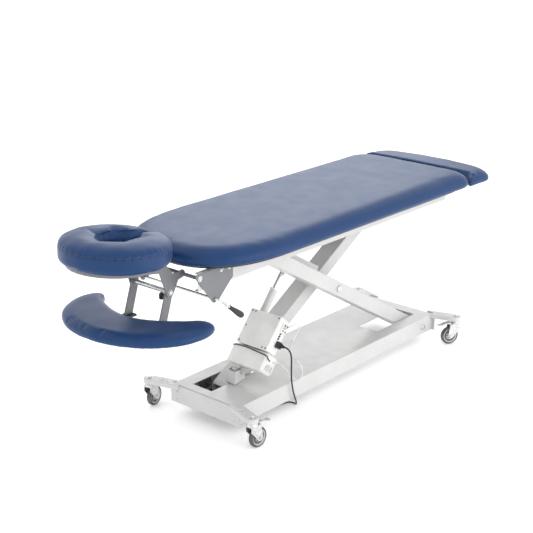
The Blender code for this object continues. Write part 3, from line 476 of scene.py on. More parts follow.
def pad_outline(inset):
    """The main pad seen from above: straight sides, an egg-shaped head end, a slightly bowed foot end."""
    half = PAD_HALF_WIDTH - inset
    length = HEAD_CURVE_X - PAD_HEAD_X - inset
    head = []
    steps = 36
    for i in range(1, steps):
        t = math.pi / 2 * i / steps
        x = HEAD_CURVE_X - length * math.sin(t) ** (2 / HEAD_CURVE_POWER)
        y = half * math.cos(t) ** (2 / HEAD_CURVE_POWER)
        head.append((x, y))
    corner = 0.080
    end = PAD_FOOT_X - inset
    foot = []
    for i in range(7):
        y = (half - corner) * i / 6
        foot.append((end - FOOT_BOW * (y / half) ** 2, y))
    foot += arc((foot[-1][0] - corner, half - corner), corner, 15, 90, 12)
    upper = foot[1:] + [(HEAD_CURVE_X, half)] + head
    return [foot[0]] + upper + [(PAD_HEAD_X + inset, 0)] + mirrored(upper)


def foot_outline(inset):
    """The foot pad seen from above: it follows the main pad's end and bows out a little more."""
    half = PAD_HALF_WIDTH - 0.002 - inset
    corner = 0.078
    seam = PAD_FOOT_X + 0.006 + inset
    inner = []
    for i in range(7):
        y = (PAD_HALF_WIDTH - 0.080) * i / 6
        inner.append((seam - FOOT_BOW * (y / PAD_HALF_WIDTH) ** 2, y))
    bend = (inner[-1][0] - 0.080, PAD_HALF_WIDTH - 0.080)
    inner += arc(bend, 0.080, 20, 56, 6)
    outer = []
    end = FOOT_PAD_END_X - inset
    for i in range(8):
        y = (half - corner) * i / 7
        outer.append((end - 0.045 * (y / half) ** 2, y))
    turn = arc((outer[-1][0] - corner, half - corner), corner, 15, 90, 12)
    side = [(inner[-1][0] + 0.012, half)]
    upper = inner + side + list(reversed(turn)) + list(reversed(outer))
    return upper + mirrored(upper)[1:-1]


def horseshoe(inset):
    """The face cushion's outline, from its own centre: it opens to +X."""
    half_length = FACE_HALF_LENGTH - inset
    half_width = FACE_HALF_WIDTH - inset
    gap = 0.017 + inset
    hole_length = FACE_HOLE_LENGTH + inset
    hole_width = FACE_HOLE_WIDTH + inset
    steps = 72
    start = math.asin(min(0.9, (gap + 0.020) / half_width))
    outer = []
    for i in range(steps + 1):
        t = start + (math.tau - 2 * start) * i / steps
        outer.append((half_length * math.cos(t), half_width * math.sin(t)))
    begin = math.asin(min(0.95, gap / hole_width))
    inner = []
    for i in range(33):
        t = math.tau - begin - (math.tau - 2 * begin) * i / 32
        inner.append((FACE_HOLE_X + hole_length * math.cos(t), hole_width * math.sin(t)))
    mouth = half_length * 0.93
    return outer + [(mouth, -gap)] + inner + [(mouth, gap)]


def shelf_outline(inset):
    """The arm shelf seen from above: a crescent that opens to +X."""
    length = 0.275 - inset
    half = 0.330 - inset
    tip = 0.085 - inset
    outer = []
    steps = 60
    for i in range(steps + 1):
        t = math.radians(90 + 180 * i / steps)
        x = -length * abs(math.cos(t)) ** (2 / 2.05)
        y = half * math.copysign(abs(math.sin(t)) ** (2 / 2.05), math.sin(t))
        outer.append((x, y))
    blunt = 0.036 - inset / 3
    low_tip = arc((tip - blunt, -half + blunt + 0.012), blunt, 300, 460, 14)
    hollow = -0.050 - inset
    reach = low_tip[-1][1]
    inner = []
    for i in range(1, 24):
        y = reach * (1 - i / 12)
        inner.append((hollow + (low_tip[-1][0] - hollow) * abs(y / reach) ** 1.8, y))
    high_tip = [(x, -y) for x, y in reversed(low_tip)]
    return outer + low_tip + inner + high_tip


def evened(outline, count=320, passes=30):
    """The same closed outline with evenly spaced points and its corners eased."""
    closed = [Vector(p) for p in outline]
    closed.append(closed[0])
    marks = [0.0]
    for a, b in zip(closed, closed[1:]):
        marks.append(marks[-1] + (b - a).length)
    points = []
    k = 0
    for i in range(count):
        wanted = marks[-1] * i / count
        while marks[k + 1] < wanted:
            k += 1
        span = max(marks[k + 1] - marks[k], 1e-9)
        points.append(closed[k].lerp(closed[k + 1], (wanted - marks[k]) / span))
    for _ in range(passes):
        points = [
            points[i] * 0.5 + (points[i - 1] + points[(i + 1) % count]) * 0.25 for i in range(count)
        ]
    return [tuple(p) for p in points]


def rolled_profile(low, high, margin, roll_low, roll_high, steps=8):
    """(inset, height) pairs up a padded edge: round below, and an elliptical shoulder above."""
    points = []
    reach, rise = roll_high
    for i in range(steps):
        a = math.radians(-90 + 90 * i / (steps - 1))
        points.append((margin + roll_low * (1 - math.cos(a)), low + roll_low * (1 + math.sin(a))))
    for i in range(steps):
        a = math.radians(90 * i / (steps - 1))
        points.append((margin + reach * (1 - math.cos(a)), high - rise * (1 - math.sin(a))))
    return points


def padded_block(name, outline, profile, voxel, place):
    """A closed form from an outline at each inset and height of a profile, remeshed into even quads."""
    bm = bmesh.new()
    rings = []
    for inset, height in profile:
        rings.append([bm.verts.new(place @ Vector((x, y, height))) for x, y in outline(inset)])
    bm.faces.new(list(reversed(rings[0])))
    bm.faces.new(rings[-1])
    count = len(rings[0])
    for low, high in zip(rings, rings[1:]):
        for i in range(count):
            j = (i + 1) % count
            bm.faces.new((low[i], low[j], high[j], high[i]))
    bmesh.ops.triangulate(bm, faces=[f for f in bm.faces if len(f.verts) > 4])
    bmesh.ops.recalc_face_normals(bm, faces=bm.faces)
    mesh = bpy.data.meshes.new(name)
    bm.to_mesh(mesh)
    bm.free()
    made = bpy.data.objects.new(name, mesh)
    bpy.context.scene.collection.objects.link(made)
    remesh = made.modifiers.new("Remesh", "REMESH")
    remesh.mode = "VOXEL"
    remesh.voxel_size = voxel
    even = made.modifiers.new("Smooth", "SMOOTH")
    even.factor = 0.5
    even.iterations = 6
    apply_modifiers(made)
    return made


def apply_modifiers(made):
    graph = bpy.context.evaluated_depsgraph_get()
    mesh = bpy.data.meshes.new_from_object(made.evaluated_get(graph))
    old = made.data
    made.modifiers.clear()
    made.data = mesh
    bpy.data.meshes.remove(old)


def read_vectors(mesh, attribute="co"):
    flat = np.empty(len(mesh.vertices) * 3, dtype=np.float64)
    mesh.vertices.foreach_get(attribute, flat)
    return flat.reshape(-1, 3)


def moved_by(points, place):
    matrix = np.array(place)
    return points @ matrix[:3, :3].T + matrix[:3, 3]


def write_points(mesh, points):
    mesh.vertices.foreach_set("co", points.ravel())
    mesh.update()


def inflate(blocks, caps, pressure=4.0):
    """Swells every padded block by cloth pressure, no point further than its cap, in one simulation."""
    scene = bpy.context.scene
    before = [read_vectors(block.data) for block in blocks]
    for block in blocks:
        cloth = block.modifiers.new("Cloth", "CLOTH")
        settings = cloth.settings
        settings.quality = 5
        settings.mass = 0.3
        settings.tension_stiffness = 22.0
        settings.compression_stiffness = 22.0
        settings.shear_stiffness = 9.0
        settings.bending_stiffness = 2.0
        settings.use_pressure = True
        settings.uniform_pressure_force = pressure
        settings.effector_weights.gravity = 0.0
        cloth.point_cache.frame_start = 1
        cloth.point_cache.frame_end = SIM_FRAMES
    for step in range(1, SIM_FRAMES + 1):
        scene.frame_set(step)
    for block, start, cap in zip(blocks, before, caps):
        apply_modifiers(block)
        moved = read_vectors(block.data) - start
        length = np.linalg.norm(moved, axis=1, keepdims=True) + 1e-9
        write_points(block.data, start + moved / length * cap * np.tanh(length / cap))
    scene.frame_set(1)


def refine(block, smoothing):
    """Evens out the voxel steps, then subdivides once."""
    even = block.modifiers.new("Smooth", "SMOOTH")
    even.factor = 0.5
    even.iterations = smoothing
    finer = block.modifiers.new("Subdivision", "SUBSURF")
    finer.levels = 1
    finer.render_levels = 1
    apply_modifiers(block)
    block.data.shade_smooth()


def sculpt(block, place, move):
    """Moves each point along its normal by move(local points)."""
    points = read_vectors(block.data)
    normals = read_vectors(block.data, "normal")
    local = moved_by(points, place.inverted())
    write_points(block.data, points + normals * move(local)[:, None])


def rest_on(block, place, level):
    """Flattens whatever lies below a level of the block's own place, where it rests on its board."""
    local = moved_by(read_vectors(block.data), place.inverted())
    local[:, 2] = np.maximum(local[:, 2], level)
    write_points(block.data, moved_by(local, place))


def ripple(local, size, amount):
    """A slow, uneven wobble of foam under tight vinyl."""
    x, y, z = (local / size).T
    wave = np.sin(1.7 * x + 2.3 * y + 0.4) * np.sin(2.1 * y - 1.3 * x + 1.1)
    wave += 0.6 * np.sin(3.9 * x - 1.1 * y + 2.0 * z) * np.sin(3.1 * y + 0.7)
    return wave * amount


def face_relief(local):
    """The face cushion's side seam, the gathers above it, and the puckers that line its hole."""
    x, y, z = local.T
    rim = np.sqrt((x / FACE_HALF_LENGTH) ** 2 + (y / FACE_HALF_WIDTH) ** 2)
    outer = np.clip((rim - 0.84) / 0.06, 0, 1)
    seam = np.clip(1 - np.abs(z - FACE_SEAM) / 0.0034, 0, 1) ** 1.5
    turn = np.arctan2(y, x)
    near_side = 0.30 + 0.70 * np.clip(np.cos(turn - math.radians(-128)), 0, 1) ** 1.5
    near_side += 0.75 * np.exp(-(((turn - math.radians(-32)) / 0.30) ** 2))
    above = np.clip((z - FACE_SEAM) / 0.030, 0, 1)
    gather = np.where(z > FACE_SEAM - 0.002, (1 - above) ** 1.4, 0.0)
    below = np.exp(-(((z - FACE_SEAM + 0.005) / 0.006) ** 2))
    pleat = (0.5 + 0.5 * np.sin(46 * turn + 1.6 * np.sin(5 * turn))) ** 3
    moved = -0.0026 * seam * outer
    moved -= 0.0030 * pleat * gather * near_side * outer
    moved -= 0.0008 * pleat * below * outer
    across = y / FACE_HOLE_WIDTH
    along = (x - FACE_HOLE_X) / FACE_HOLE_LENGTH
    hole = np.sqrt(along**2 + across**2)
    hole_turn = np.arctan2(across, along)
    lining = np.clip(1 - np.abs(hole - 1.0) / 0.34, 0, 1) * np.clip((z - 0.012) / 0.05, 0, 1)
    pucker = (0.5 + 0.5 * np.sin(19 * hole_turn + 1.2 * np.sin(3 * hole_turn))) ** 2
    moved -= 0.0028 * pucker * lining
    return moved + ripple(local, 0.055, 0.0007)


def make_face_seam(cushion, place):
    """The sewn line round the face cushion's side, laid on its finished surface."""
    count = 73
    points = []
    for x, y in horseshoe(0.0)[:count]:
        out = Vector((x / FACE_HALF_LENGTH**2, y / FACE_HALF_WIDTH**2, 0)).normalized()
        start = place @ (Vector((x, y, FACE_SEAM)) + out * 0.040)
        way = (place.to_3x3() @ -out).normalized()
        hit, spot, _, _ = cushion.ray_cast(start, way, distance=0.080)
        if hit:
            points.append(spot - way * 0.0005)
    tube_curve("face_cushion_seam", points, SEAM_DIAMETER, SCREW, "head_section", 2)


def edge_tuck(local, low, depth):
    """Draws the vinyl in along the lowest edge, where it is stapled under the board."""
    z = local[:, 2]
    return -depth * np.exp(-(((z - low) / 0.006) ** 2))


def make_upholstery():
    world = Matrix.Identity(4)
    face_place = Matrix.Translation((FACE_CENTRE_X, 0, FACE_BOTTOM)) @ Matrix.Rotation(FACE_TILT, 4, "Y")
    shelf_place = Matrix.Translation((SHELF_CENTRE_X, 0, 0)) @ Matrix.Rotation(SHELF_YAW, 4, "Z")
    main = padded_block(
        "main_pad_upholstery",
        pad_outline,
        rolled_profile(PAD_LOW.z, PAD_HIGH.z - 0.0020, -0.0020, 0.018, (0.060, 0.046)),
        0.009,
        world,
    )
    foot = padded_block(
        "foot_pad_upholstery",
        foot_outline,
        rolled_profile(FOOT_LOW.z, FOOT_HIGH.z - 0.0020, -0.0005, 0.015, (0.062, 0.040)),
        0.006,
        world,
    )
    face = padded_block(
        "face_cushion_upholstery",
        horseshoe,
        rolled_profile(0.0, FACE_CROWN, -0.0010, 0.022, (0.056, FACE_CROWN - FACE_SEAM + 0.004)),
        0.005,
        face_place,
    )
    shelf = padded_block(
        "arm_shelf_upholstery",
        lambda inset: evened(shelf_outline(inset)),
        rolled_profile(SHELF_LOW.z, SHELF_HIGH.z - 0.0010, -0.0040, 0.013, (0.046, 0.026)),
        0.005,
        shelf_place,
    )
    inflate([main, foot, face, shelf], [0.0050, 0.0060, 0.0140, 0.0070])
    for block, smoothing in ((main, 4), (foot, 4), (face, 2), (shelf, 3)):
        refine(block, smoothing)
    sculpt(main, world, lambda p: ripple(p, 0.16, 0.0005) + edge_tuck(p, PAD_LOW.z, 0.002))
    sculpt(foot, world, lambda p: ripple(p, 0.10, 0.0005) + edge_tuck(p, FOOT_LOW.z, 0.002))
    sculpt(shelf, shelf_place, lambda p: ripple(p, 0.08, 0.0005) + edge_tuck(p, SHELF_LOW.z, 0.002))
    sculpt(face, face_place, face_relief)
    rest_on(main, world, PAD_LOW.z)
    rest_on(foot, world, FOOT_LOW.z)
    rest_on(face, face_place, 0.0)
    rest_on(shelf, world, SHELF_LOW.z)
    make_face_seam(face, face_place)
    for block, body, node, fill in (
        (main, "top_frame", "main_pad", 0.95),
        (foot, "foot_extension", "foot_pad", 0.95),
        (face, "head_section", "face_cushion", 0.85),
        (shelf, "arm_shelf", "arm_shelf_pad", 0.9),
    ):
        block.data.materials.clear()
        block.data.materials.append(VINYL)
        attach(block, body)
        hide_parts(node)


# ---------------------------------------------------------------- cords


def smooth_route(route, count):
    """Count points, evenly spaced by index, on a Catmull-Rom curve through the route."""
    knots = [Vector(p) for p in route]
    knots = [2 * knots[0] - knots[1]] + knots + [2 * knots[-1] - knots[-2]]
    points = []
    spans = len(knots) - 3
    for step in range(count):
        t = step / (count - 1) * spans
        i = min(int(t), spans - 1)
        u = t - i
        a, b, c, d = knots[i : i + 4]
        cubic = 3 * b - a - 3 * c + d
        square = 2 * a - 5 * b + 4 * c - d
        points.append(0.5 * (2 * b + (c - a) * u + square * u**2 + cubic * u**3))
    return points


def coil_points():
    """The wound turns, clockwise from above: two beside each other in each of four layers.

    Each turn is a little less than full, so the step to the next one never meets the step below it.
    """
    centre_x, centre_y = COIL_CENTRE
    floor = LEAD_DIAMETER / 2 + GAP
    states = []
    for layer in range(COIL_LAYERS):
        radii = COIL_RADII if layer % 2 == 0 else tuple(reversed(COIL_RADII))
        states += [(radius, floor + layer * COIL_LAYER_HEIGHT) for radius in radii]
    turn = 310.0
    step_over = 50.0
    start = -113.0
    last_turn = 327.0
    total = turn * (len(states) - 1) + last_turn
    points = []
    count = int(total / 10.0)
    for i in range(count + 1):
        swept = total * i / count
        k = min(int(swept / turn), len(states) - 1)
        left = (k + 1) * turn - swept
        here = states[k]
        if k + 1 < len(states) and left < step_over:
            t = 1 - left / step_over
            t = t * t * (3 - 2 * t)
            following = states[k + 1]
            here = (here[0] + (following[0] - here[0]) * t, here[1] + (following[1] - here[1]) * t)
        a = math.radians(start - swept)
        points.append((centre_x + here[0] * math.cos(a), centre_y + here[0] * math.sin(a), here[1]))
    return points


def make_mains_lead():
    """The lead: out of the connector, down to the floor, under the tray, round the coil and into the plug."""
    floor = LEAD_DIAMETER / 2 + GAP
    coil_x, coil_y = COIL_CENTRE
    route = [
        on_actuator(0.1610, -0.1864, -0.0020),
        on_actuator(0.1610, -0.1950, -0.0022),
        (BASE_X - 0.4150, -0.2045, 0.3070),
        (BASE_X - 0.4130, -0.2145, 0.2980),
        (BASE_X - 0.4110, -0.2200, 0.2820),
        (BASE_X - 0.4085, -0.2200, 0.2600),
        (BASE_X - 0.4050, -0.2170, 0.2300),
        (BASE_X - 0.4010, -0.2140, 0.1950),
        (BASE_X - 0.3940, -0.2090, 0.1600),
        (BASE_X - 0.3850, -0.2055, 0.1280),
        (BASE_X - 0.3760, -0.2040, 0.0980),
        (BASE_X - 0.3660, -0.2035, 0.0700),
        (BASE_X - 0.3520, -0.2000, 0.0430),
        (BASE_X - 0.3350, -0.1870, 0.0210),
        (BASE_X - 0.3170, -0.1690, 0.0080),
        (BASE_X - 0.3080, -0.1480, floor),
        (BASE_X - 0.3190, -0.1280, floor),
        (BASE_X - 0.3540, -0.1180, floor),
        (BASE_X - 0.3990, -0.1020, floor),
        (BASE_X - 0.4390, -0.0800, floor),
        (coil_x + 0.0100, coil_y - 0.0507, floor),
    ]
    top = floor + (COIL_LAYERS - 1) * COIL_LAYER_HEIGHT
    tail = [
        (coil_x - 0.0120, coil_y - 0.0438, top),
        (coil_x - 0.0250, coil_y - 0.0462, top - 0.0020),
    ]
    bend = arc((coil_x - 0.037, coil_y - 0.020), 0.028, 270, 180, 8)
    for i, (x, y) in enumerate(bend):
        tail.append((x, y, 0.0205 - 0.0025 * i / (len(bend) - 1)))
    hanging = [(x, y, max(z, floor)) for x, y, z in smooth_route(route, 90)]
    points = hanging + coil_points() + tail
    lead = tube_curve("mains_lead_cord", points, LEAD_DIAMETER, SHEATH, "base")
    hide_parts("mains_lead", "mains_lead_coil")
    plug = make_plug()


def make_plug():
    """A moulded two-pin plug with a ribbed strain relief, in the place of the CAD one."""
    coil_x, coil_y = COIL_CENTRE
    place = facing((coil_x - 0.065, coil_y - 0.020, 0.0180), (0, 1, 0))
    bm = bmesh.new()
    profile = [(0, 0.0), (0.0046, 0.0)]
    for i in range(5):
        base = 0.002 + 0.0042 * i
        radius = 0.0050 + 0.0004 * i
        profile += [(radius, base), (radius, base + 0.0024), (radius - 0.0008, base + 0.0028)]
        profile += [(radius - 0.0008, base + 0.0040)]
    profile += [(0.0100, 0.0245), (0.0150, 0.0300), (0.0172, 0.0360), (0.0174, 0.0400)]
    profile += [(0.0166, 0.0420), (0.0166, 0.0500), (0.0174, 0.0520), (0.0174, 0.0560)]
    profile += [(0.0165, 0.0580), (0, 0.0580)]
    add_turned(bm, profile, place, 32)
    body = hardware("mains_plug_body", bm, BLACK, "base")
    bm = bmesh.new()
    for offset in (-0.0095, 0.0095):
        pin = Matrix.Translation((offset, 0, 0)) @ place
        add_turned(
            bm,
            [(0, 0.0575), (0.0024, 0.0575), (0.0024, 0.0755), (0.0014, 0.0770), (0, 0.0770)],
            pin,
            16,
        )
    pins = hardware("mains_plug_pins", bm, ZINC, "base")
    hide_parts("mains_plug")
    return [body, pins]


def boot(bm, start, direction, radius, length, ribs=3):
    """A tapered, ribbed strain relief that leaves a housing at start."""
    place = facing(start, direction)
    profile = [(0, -0.0005), (radius * 1.35, -0.0005), (radius * 1.35, length * 0.14)]
    for i in range(ribs):
        low = length * (0.18 + 0.26 * i)
        outer = radius * (1.25 - 0.10 * i)
        profile += [(outer * 0.86, low), (outer, low + length * 0.05)]
        profile += [(outer, low + length * 0.14), (outer * 0.86, low + length * 0.19)]
    profile += [(radius * 0.80, length), (0, length)]
    add_turned(bm, profile, place, 20)


def make_actuator_cables():
    """The pale cable looped from the control box to the motor, and the short black one across the joint."""
    handset = [
        on_actuator(0.2365, -0.1495, 0.0060),
        on_actuator(0.2370, -0.1570, 0.0060),
        (BASE_X - 0.3660, -0.1665, 0.3785),
        (BASE_X - 0.3480, -0.1740, 0.3860),
        (BASE_X - 0.3200, -0.1760, 0.3820),
        (BASE_X - 0.3080, -0.1740, 0.3620),
        (BASE_X - 0.3180, -0.1710, 0.3370),
        (BASE_X - 0.3420, -0.1690, 0.3120),
        (BASE_X - 0.3600, -0.1690, 0.2880),
        (BASE_X - 0.3620, -0.1700, 0.2620),
        (BASE_X - 0.3460, -0.1740, 0.2400),
        (BASE_X - 0.3240, -0.1860, 0.2150),
        (BASE_X - 0.3080, -0.1935, 0.1820),
        (BASE_X - 0.3060, -0.1950, 0.1550),
        (BASE_X - 0.3200, -0.1950, 0.1380),
        (BASE_X - 0.3450, -0.1950, 0.1400),
        (BASE_X - 0.3720, -0.1945, 0.1620),
        (BASE_X - 0.4000, -0.1895, 0.1980),
        (BASE_X - 0.4250, -0.1800, 0.2300),
        (BASE_X - 0.4470, -0.1750, 0.2465),
        on_actuator(0.0850, -0.1690, -0.0100),
        on_actuator(0.0850, -0.1626, -0.0100),
    ]
    points = smooth_route(handset, 140)
    cord = tube_curve("handset_cord", points, HANDSET_DIAMETER, PALE_SHEATH, "actuator_body")
    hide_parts("handset_cable")
    motor = [
        on_actuator(0.094, 0.030, 0.0495),
        on_actuator(0.099, 0.010, 0.0492),
        on_actuator(0.101, -0.040, 0.0492),
        on_actuator(0.098, -0.090, 0.0492),
        on_actuator(0.094, -0.150, 0.0492),
        on_actuator(0.090, -0.1640, 0.0460),
        on_actuator(0.084, -0.1655, 0.0380),
        on_actuator(0.080, -0.1655, 0.0200),
    ]
    points = smooth_route(motor, 60)
    cord = tube_curve("motor_cord", points, MOTOR_CABLE_DIAMETER, SHEATH, "actuator_body")
    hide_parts("motor_cable")


# ---------------------------------------------------------------- small hardware


def make_actuator_details():
    """Screws, sockets, cord boots, strain-relief ribs, the rod's seal and the label."""
    bm = bmesh.new()
    face = 0.0480
    spots = ((0.262, 0.014), (0.262, -0.004), (0.262, -0.134), (0.192, 0.014))
    spots += ((0.122, 0.014), (0.122, -0.134), (0.122, -0.116))
    for distance, y in spots:
        add_turned(bm, button_head(0.0036, 0.0018), facing(on_actuator(distance, y, face), OUT), 20)
    hardware("cover_screws", bm, SCREW, "actuator_body")

    side = Vector((0, -1, 0))
    bm = bmesh.new()
    for distance in (0.2240, 0.2490):
        for away in (-0.0120, 0.0060):
            place = facing(on_actuator(distance, -0.1490, away), side)
            add_turned(bm, washer_profile(0.0026, 0.0042, 0.0012), place, 24)
            add_turned(bm, [(0, 0), (0.0027, 0), (0.0027, 0.0004), (0, 0.0004)], place, 24)
    for distance in (0.1850, 0.1960, 0.2070):
        place = facing(on_actuator(distance, -0.1440, 0.0060), side)
        add_bevelled_box(bm, (-0.0070, -0.0036, 0.0), (0.0070, 0.0036, 0.0010), place, 0.0004)
    hardware("socket_rims", bm, BLACK, "actuator_body")

    bm = bmesh.new()
    boot(bm, on_actuator(0.2365, -0.1490, 0.0060), side, 0.0042, 0.0120)
    boot(bm, on_actuator(0.0850, -0.1620, -0.0100), side, 0.0042, 0.0100)
    hardware("handset_cord_boots", bm, PALE_SHEATH, "actuator_body")

    bm = bmesh.new()
    relief = on_actuator(0.1610, -0.1640, -0.0020)
    for i in range(4):
        radius = 0.0086 - 0.0009 * i
        ring = facing(relief + side * (0.0020 + 0.0050 * i), side)
        add_turned(bm, washer_profile(radius - 0.0022, radius + 0.0007, 0.0028), ring, 24)
    hardware("connector_relief_ribs", bm, BLACK, "actuator_body")

    turn = facing(on_actuator(0, 0, 0), ALONG)
    bm = bmesh.new()
    seal = [(0.0136, 0.0), (0.0176, 0.0), (0.0182, 0.0012), (0.0182, 0.0050)]
    seal += [(0.0160, 0.0068), (0.0136, 0.0068)]
    place = turn @ Matrix.Translation((0, 0, TUBE_END + GAP))
    add_turned(bm, seal, place, 32)
    hardware("rod_wiper_seal", bm, CREAM, "actuator_body")

    make_rating_label()


def make_rating_label():
    """A plain label with grey bars and blocks on the motor's near end, with nothing readable on it."""
    axes = Matrix((ALONG, OUT, Vector((0, -1, 0)))).transposed().to_4x4()
    place = Matrix.Translation(on_actuator(0, -0.1620, 0)) @ axes
    bm = bmesh.new()
    add_bevelled_box(bm, (0.0330, -0.0230, 0.0), (0.0720, 0.0340, 0.0004), place, 0.0001)
    hardware("rating_label", bm, LABEL, "actuator_body")
    bm = bmesh.new()
    for row in range(5):
        low = 0.0380 + 0.0052 * row
        for column, (left, right) in enumerate(((-0.0200, -0.0040), (-0.0010, 0.0170), (0.0200, 0.0310))):
            shorter = 0.0030 if (row + column) % 3 == 0 else 0.0
            corner = (low + 0.0018, right - shorter, 0.00055)
            add_bevelled_box(bm, (low, left, 0.0003), corner, place, 0.00005)
    hardware("rating_label_bars", bm, SCREW, "actuator_body")


def make_base_details():
    """Bolts that hold the end plates, and the screws on top of the castor arms."""
    bm = bmesh.new()
    for node, sign in (("front_end_plate", -1), ("rear_end_plate", 1)):
        low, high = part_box(node)
        face = low.x if sign < 0 else high.x
        for y in (-0.164, 0.164):
            for z in (0.1000, 0.0660):
                place = facing((face, y, z), (sign, 0, 0))
                add_turned(bm, button_head(0.0064, 0.0034), place, 24)
                add_turned(bm, washer_profile(0.0062, 0.0085, 0.0009), place, 24)
    hardware("end_plate_bolts", bm, ZINC, "base")

    bm = bmesh.new()
    for _, end, side, _ in CASTORS:
        root = Vector((BASE_X + end * 0.7215, side * 0.2080, 0.1400))
        for step in (0.0, 0.026):
            spot = root + Vector((end * 0.0075, side * 0.026, 0)) * (step / 0.026)
            add_turned(bm, button_head(0.0062, 0.0032), facing(spot, (0, 0, 1)), 24)
    hardware("castor_arm_screws", bm, ZINC, "base")


def make_castor_details():
    """Washers on each castor's stem, washers and nuts on its axle, and the ribs of its hub."""
    for name, end, side, heading in CASTORS:
        stem = Vector((BASE_X + end * STEM_X, side * STEM_Y, 0))
        forward = Vector((math.cos(heading), math.sin(heading), 0))
        across = Vector((-math.sin(heading), math.cos(heading), 0))
        axle = stem + forward * CASTOR_TRAIL + Vector((0, 0, WHEEL_RADIUS))
        bm = bmesh.new()
        place = facing(stem + Vector((0, 0, 0.1158)), (0, 0, 1))
        add_turned(bm, washer_profile(0.0100, 0.0205, 0.0019), place, 32)
        place = facing(stem + Vector((0, 0, 0.1403)), (0, 0, 1))
        add_turned(bm, washer_profile(0.0096, 0.0140, 0.0012), place, 32)
        for way in (-1, 1):
            place = facing(axle + across * way * 0.0181, across * way)
            add_turned(bm, washer_profile(0.0041, 0.0080, 0.0008), place, 24)
            add_turned(bm, hex_profile(0.0066, 0.0048), facing(axle + across * way * 0.0189, across * way), 6)
        hardware(name + "_fixings", bm, ZINC, name + "_castor")

        bm = bmesh.new()
        for way in (-1, 1):
            place = facing(axle + across * way * 0.0061, across * way)
            add_turned(bm, washer_profile(0.0205, 0.0285, 0.0016), place, 40)
            for i in range(6):
                a = math.tau * i / 6
                rib = place @ Matrix.Rotation(a, 4, "Z")
                add_bevelled_box(bm, (0.0118, -0.0011, 0.0), (0.0206, 0.0011, 0.0014), rib, 0.0003)
        hardware(name + "_hub_web", bm, TYRE, name + "_wheel")


def make_head_details():
    """Bolts through the gussets and the struts, and the lobed clamp knob."""
    bm = bmesh.new()
    for node, side in (("near_gusset", -1), ("far_gusset", 1)):
        low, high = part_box(node)
        face = low.y if side < 0 else high.y
        for x, z, radius in (
            (BASE_X - 0.928, 0.7570, 0.0085),
            (BASE_X - 0.809, 0.7630, 0.0065),
            (BASE_X - 0.764, 0.7630, 0.0065),
        ):
            place = facing((x, face, z), (0, side, 0))
            add_turned(bm, washer_profile(radius * 0.7, radius * 1.35, 0.0010), place, 28)
            add_turned(bm, button_head(radius, 0.0045), place, 28)
    hardware("gusset_bolts", bm, ZINC, "top_frame")

    bm = bmesh.new()
    for side in (-1, 1):
        centre = (BASE_X - 0.993, side * 0.1035, 0.697)
        add_turned(bm, washer_profile(0.0040, 0.0115, 0.0012), facing(centre, (0, side, 0)), 28)
        place = facing(Vector(centre) + Vector((0, side * 0.0012, 0)), (0, side, 0))
        add_turned(bm, hex_profile(0.0085, 0.0052), place, 6)
    hardware("strut_pivot_bolts", bm, ZINC, "head_section")

    bm = bmesh.new()
    knob = Matrix.Translation((BASE_X - 0.993, -0.055, 0.697))
    profile = [(0, -0.0380), (0.0080, -0.0380), (0.0098, -0.0368), (0.0102, -0.0350)]
    profile += [(0.0102, -0.0180), (0.0096, -0.0160), (0.0060, -0.0148), (0.0052, -0.0140)]
    profile += [(0.0052, -0.0102), (0, -0.0102)]
    add_turned(bm, profile, knob, 72, 9, 0.0006)
    made = hardware("clamp_knob_lobed", bm, BLACK, "clamp_knob")
    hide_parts("clamp_knob")


def make_lever_grip():
    """The moulded grip, fuller than its CAD stand-in, with a collar at its root."""
    low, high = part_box("lever_grip")
    grip_middle = (low + high) / 2
    direction = Vector((0.08, 0, -0.062)).normalized()
    bm = bmesh.new()
    profile = [(0, 0.0), (0.0078, 0.0), (0.0086, 0.0015), (0.0086, 0.0060), (0.0078, 0.0075)]
    profile += [(0.0084, 0.0120), (0.0100, 0.0300), (0.0122, 0.0560), (0.0134, 0.0740)]
    profile += [(0.0130, 0.0850), (0.0108, 0.0905), (0.0060, 0.0928), (0, 0.0930)]
    add_turned(bm, profile, facing(grip_middle - direction * 0.0465, direction), 32)
    grip = hardware("lever_grip_moulded", bm, BLACK, "lever")
    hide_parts("lever_grip")


def make_painted_shade_sheet():
    """A black sheet between the tray's flanges, under the front cut-out: painted shade, standing in for the
    shade inside the tray.
    """
    bm = bmesh.new()
    start = TRAY_LOW.x + 0.006
    add_bevelled_box(
        bm,
        (start, -0.1435, 0.0545),
        (BASE_X - 0.300, 0.1435, 0.0560),
        Matrix.Identity(4),
        0.0004,
    )
    # painted shade: this black sheet stands for the shade inside the tray, where the tray has no bottom of
    # its own
    hardware("painted_shade_sheet", bm, SCREW, "base")


def make_lift_details():
    """The hexagon head on the actuator's lower pin."""
    bm = bmesh.new()
    pin = Vector((LOWER_PIN.x, LOWER_PIN.y - 0.0350, LOWER_PIN.z))
    add_turned(bm, hex_profile(0.0095, 0.0045), facing(pin, (0, -1, 0)), 6)
    hardware("lower_pin_head", bm, ZINC, "arm_two")


# ---------------------------------------------------------------- stage


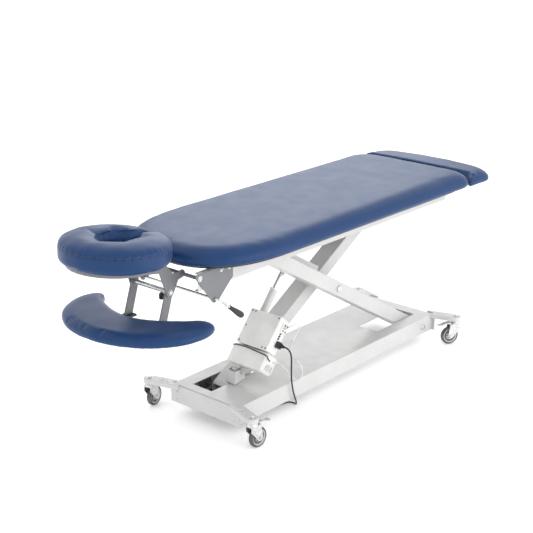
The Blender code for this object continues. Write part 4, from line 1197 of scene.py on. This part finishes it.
def make_stage():
    """A white studio floor and world, two softboxes, and the photograph's camera."""
    scene = bpy.context.scene
    scene.view_settings.view_transform = "Standard"
    world = bpy.data.worlds.new("studio")
    world.use_nodes = True
    background = world.node_tree.nodes["Background"]
    background.inputs["Color"].default_value = (1.0, 1.0, 1.0, 1.0)
    background.inputs["Strength"].default_value = WORLD_STRENGTH
    scene.world = world

    mesh = bpy.data.meshes.new("studio_floor")
    reach = 40.0
    corners = [(-reach, -reach, 0), (reach, -reach, 0), (reach, reach, 0), (-reach, reach, 0)]
    mesh.from_pydata(corners, [], [(0, 1, 2, 3)])
    floor = bpy.data.objects.new("studio_floor", mesh)
    paint = Finish("studio_floor_paint", (0.93, 0.93, 0.93), 0.7)
    paint.tint(paint.noise(0.8, 2.0), (0.925, 0.925, 0.925), (0.94, 0.94, 0.94))
    paint.set("Emission Color", (1.0, 1.0, 1.0, 1.0))
    paint.set("Emission Strength", FLOOR_GLOW)
    mesh.materials.append(paint.material)
    scene.collection.objects.link(floor)

    def softbox(name, place, target, size, power):
        lamp = bpy.data.lights.new(name, "AREA")
        lamp.shape = "SQUARE"
        lamp.size = size
        lamp.energy = power
        made = bpy.data.objects.new(name, lamp)
        made.location = place
        made.rotation_euler = (Vector(target) - Vector(place)).to_track_quat("-Z", "Y").to_euler()
        scene.collection.objects.link(made)

    softbox("back_softbox", (3.4, 2.9, 2.7), (0.3, 0, 0.8), 2.6, 30.0)
    softbox("side_softbox", (0.6, -4.2, 1.3), (0.1, 0, 0.3), 3.4, 60.0)

    lens = bpy.data.cameras.new("camera")
    lens.lens = FOCAL_LENGTH
    lens.sensor_width = 36.0
    camera = bpy.data.objects.new("camera", lens)
    camera.location = CAMERA_PLACE
    camera.rotation_euler = [math.radians(a) for a in CAMERA_ANGLES]
    scene.collection.objects.link(camera)
    scene.camera = camera


make_stage()
make_upholstery()
dress_nodes()
make_mains_lead()
make_actuator_cables()
make_actuator_details()
make_base_details()
make_castor_details()
make_head_details()
make_lift_details()
make_lever_grip()
make_painted_shade_sheet()
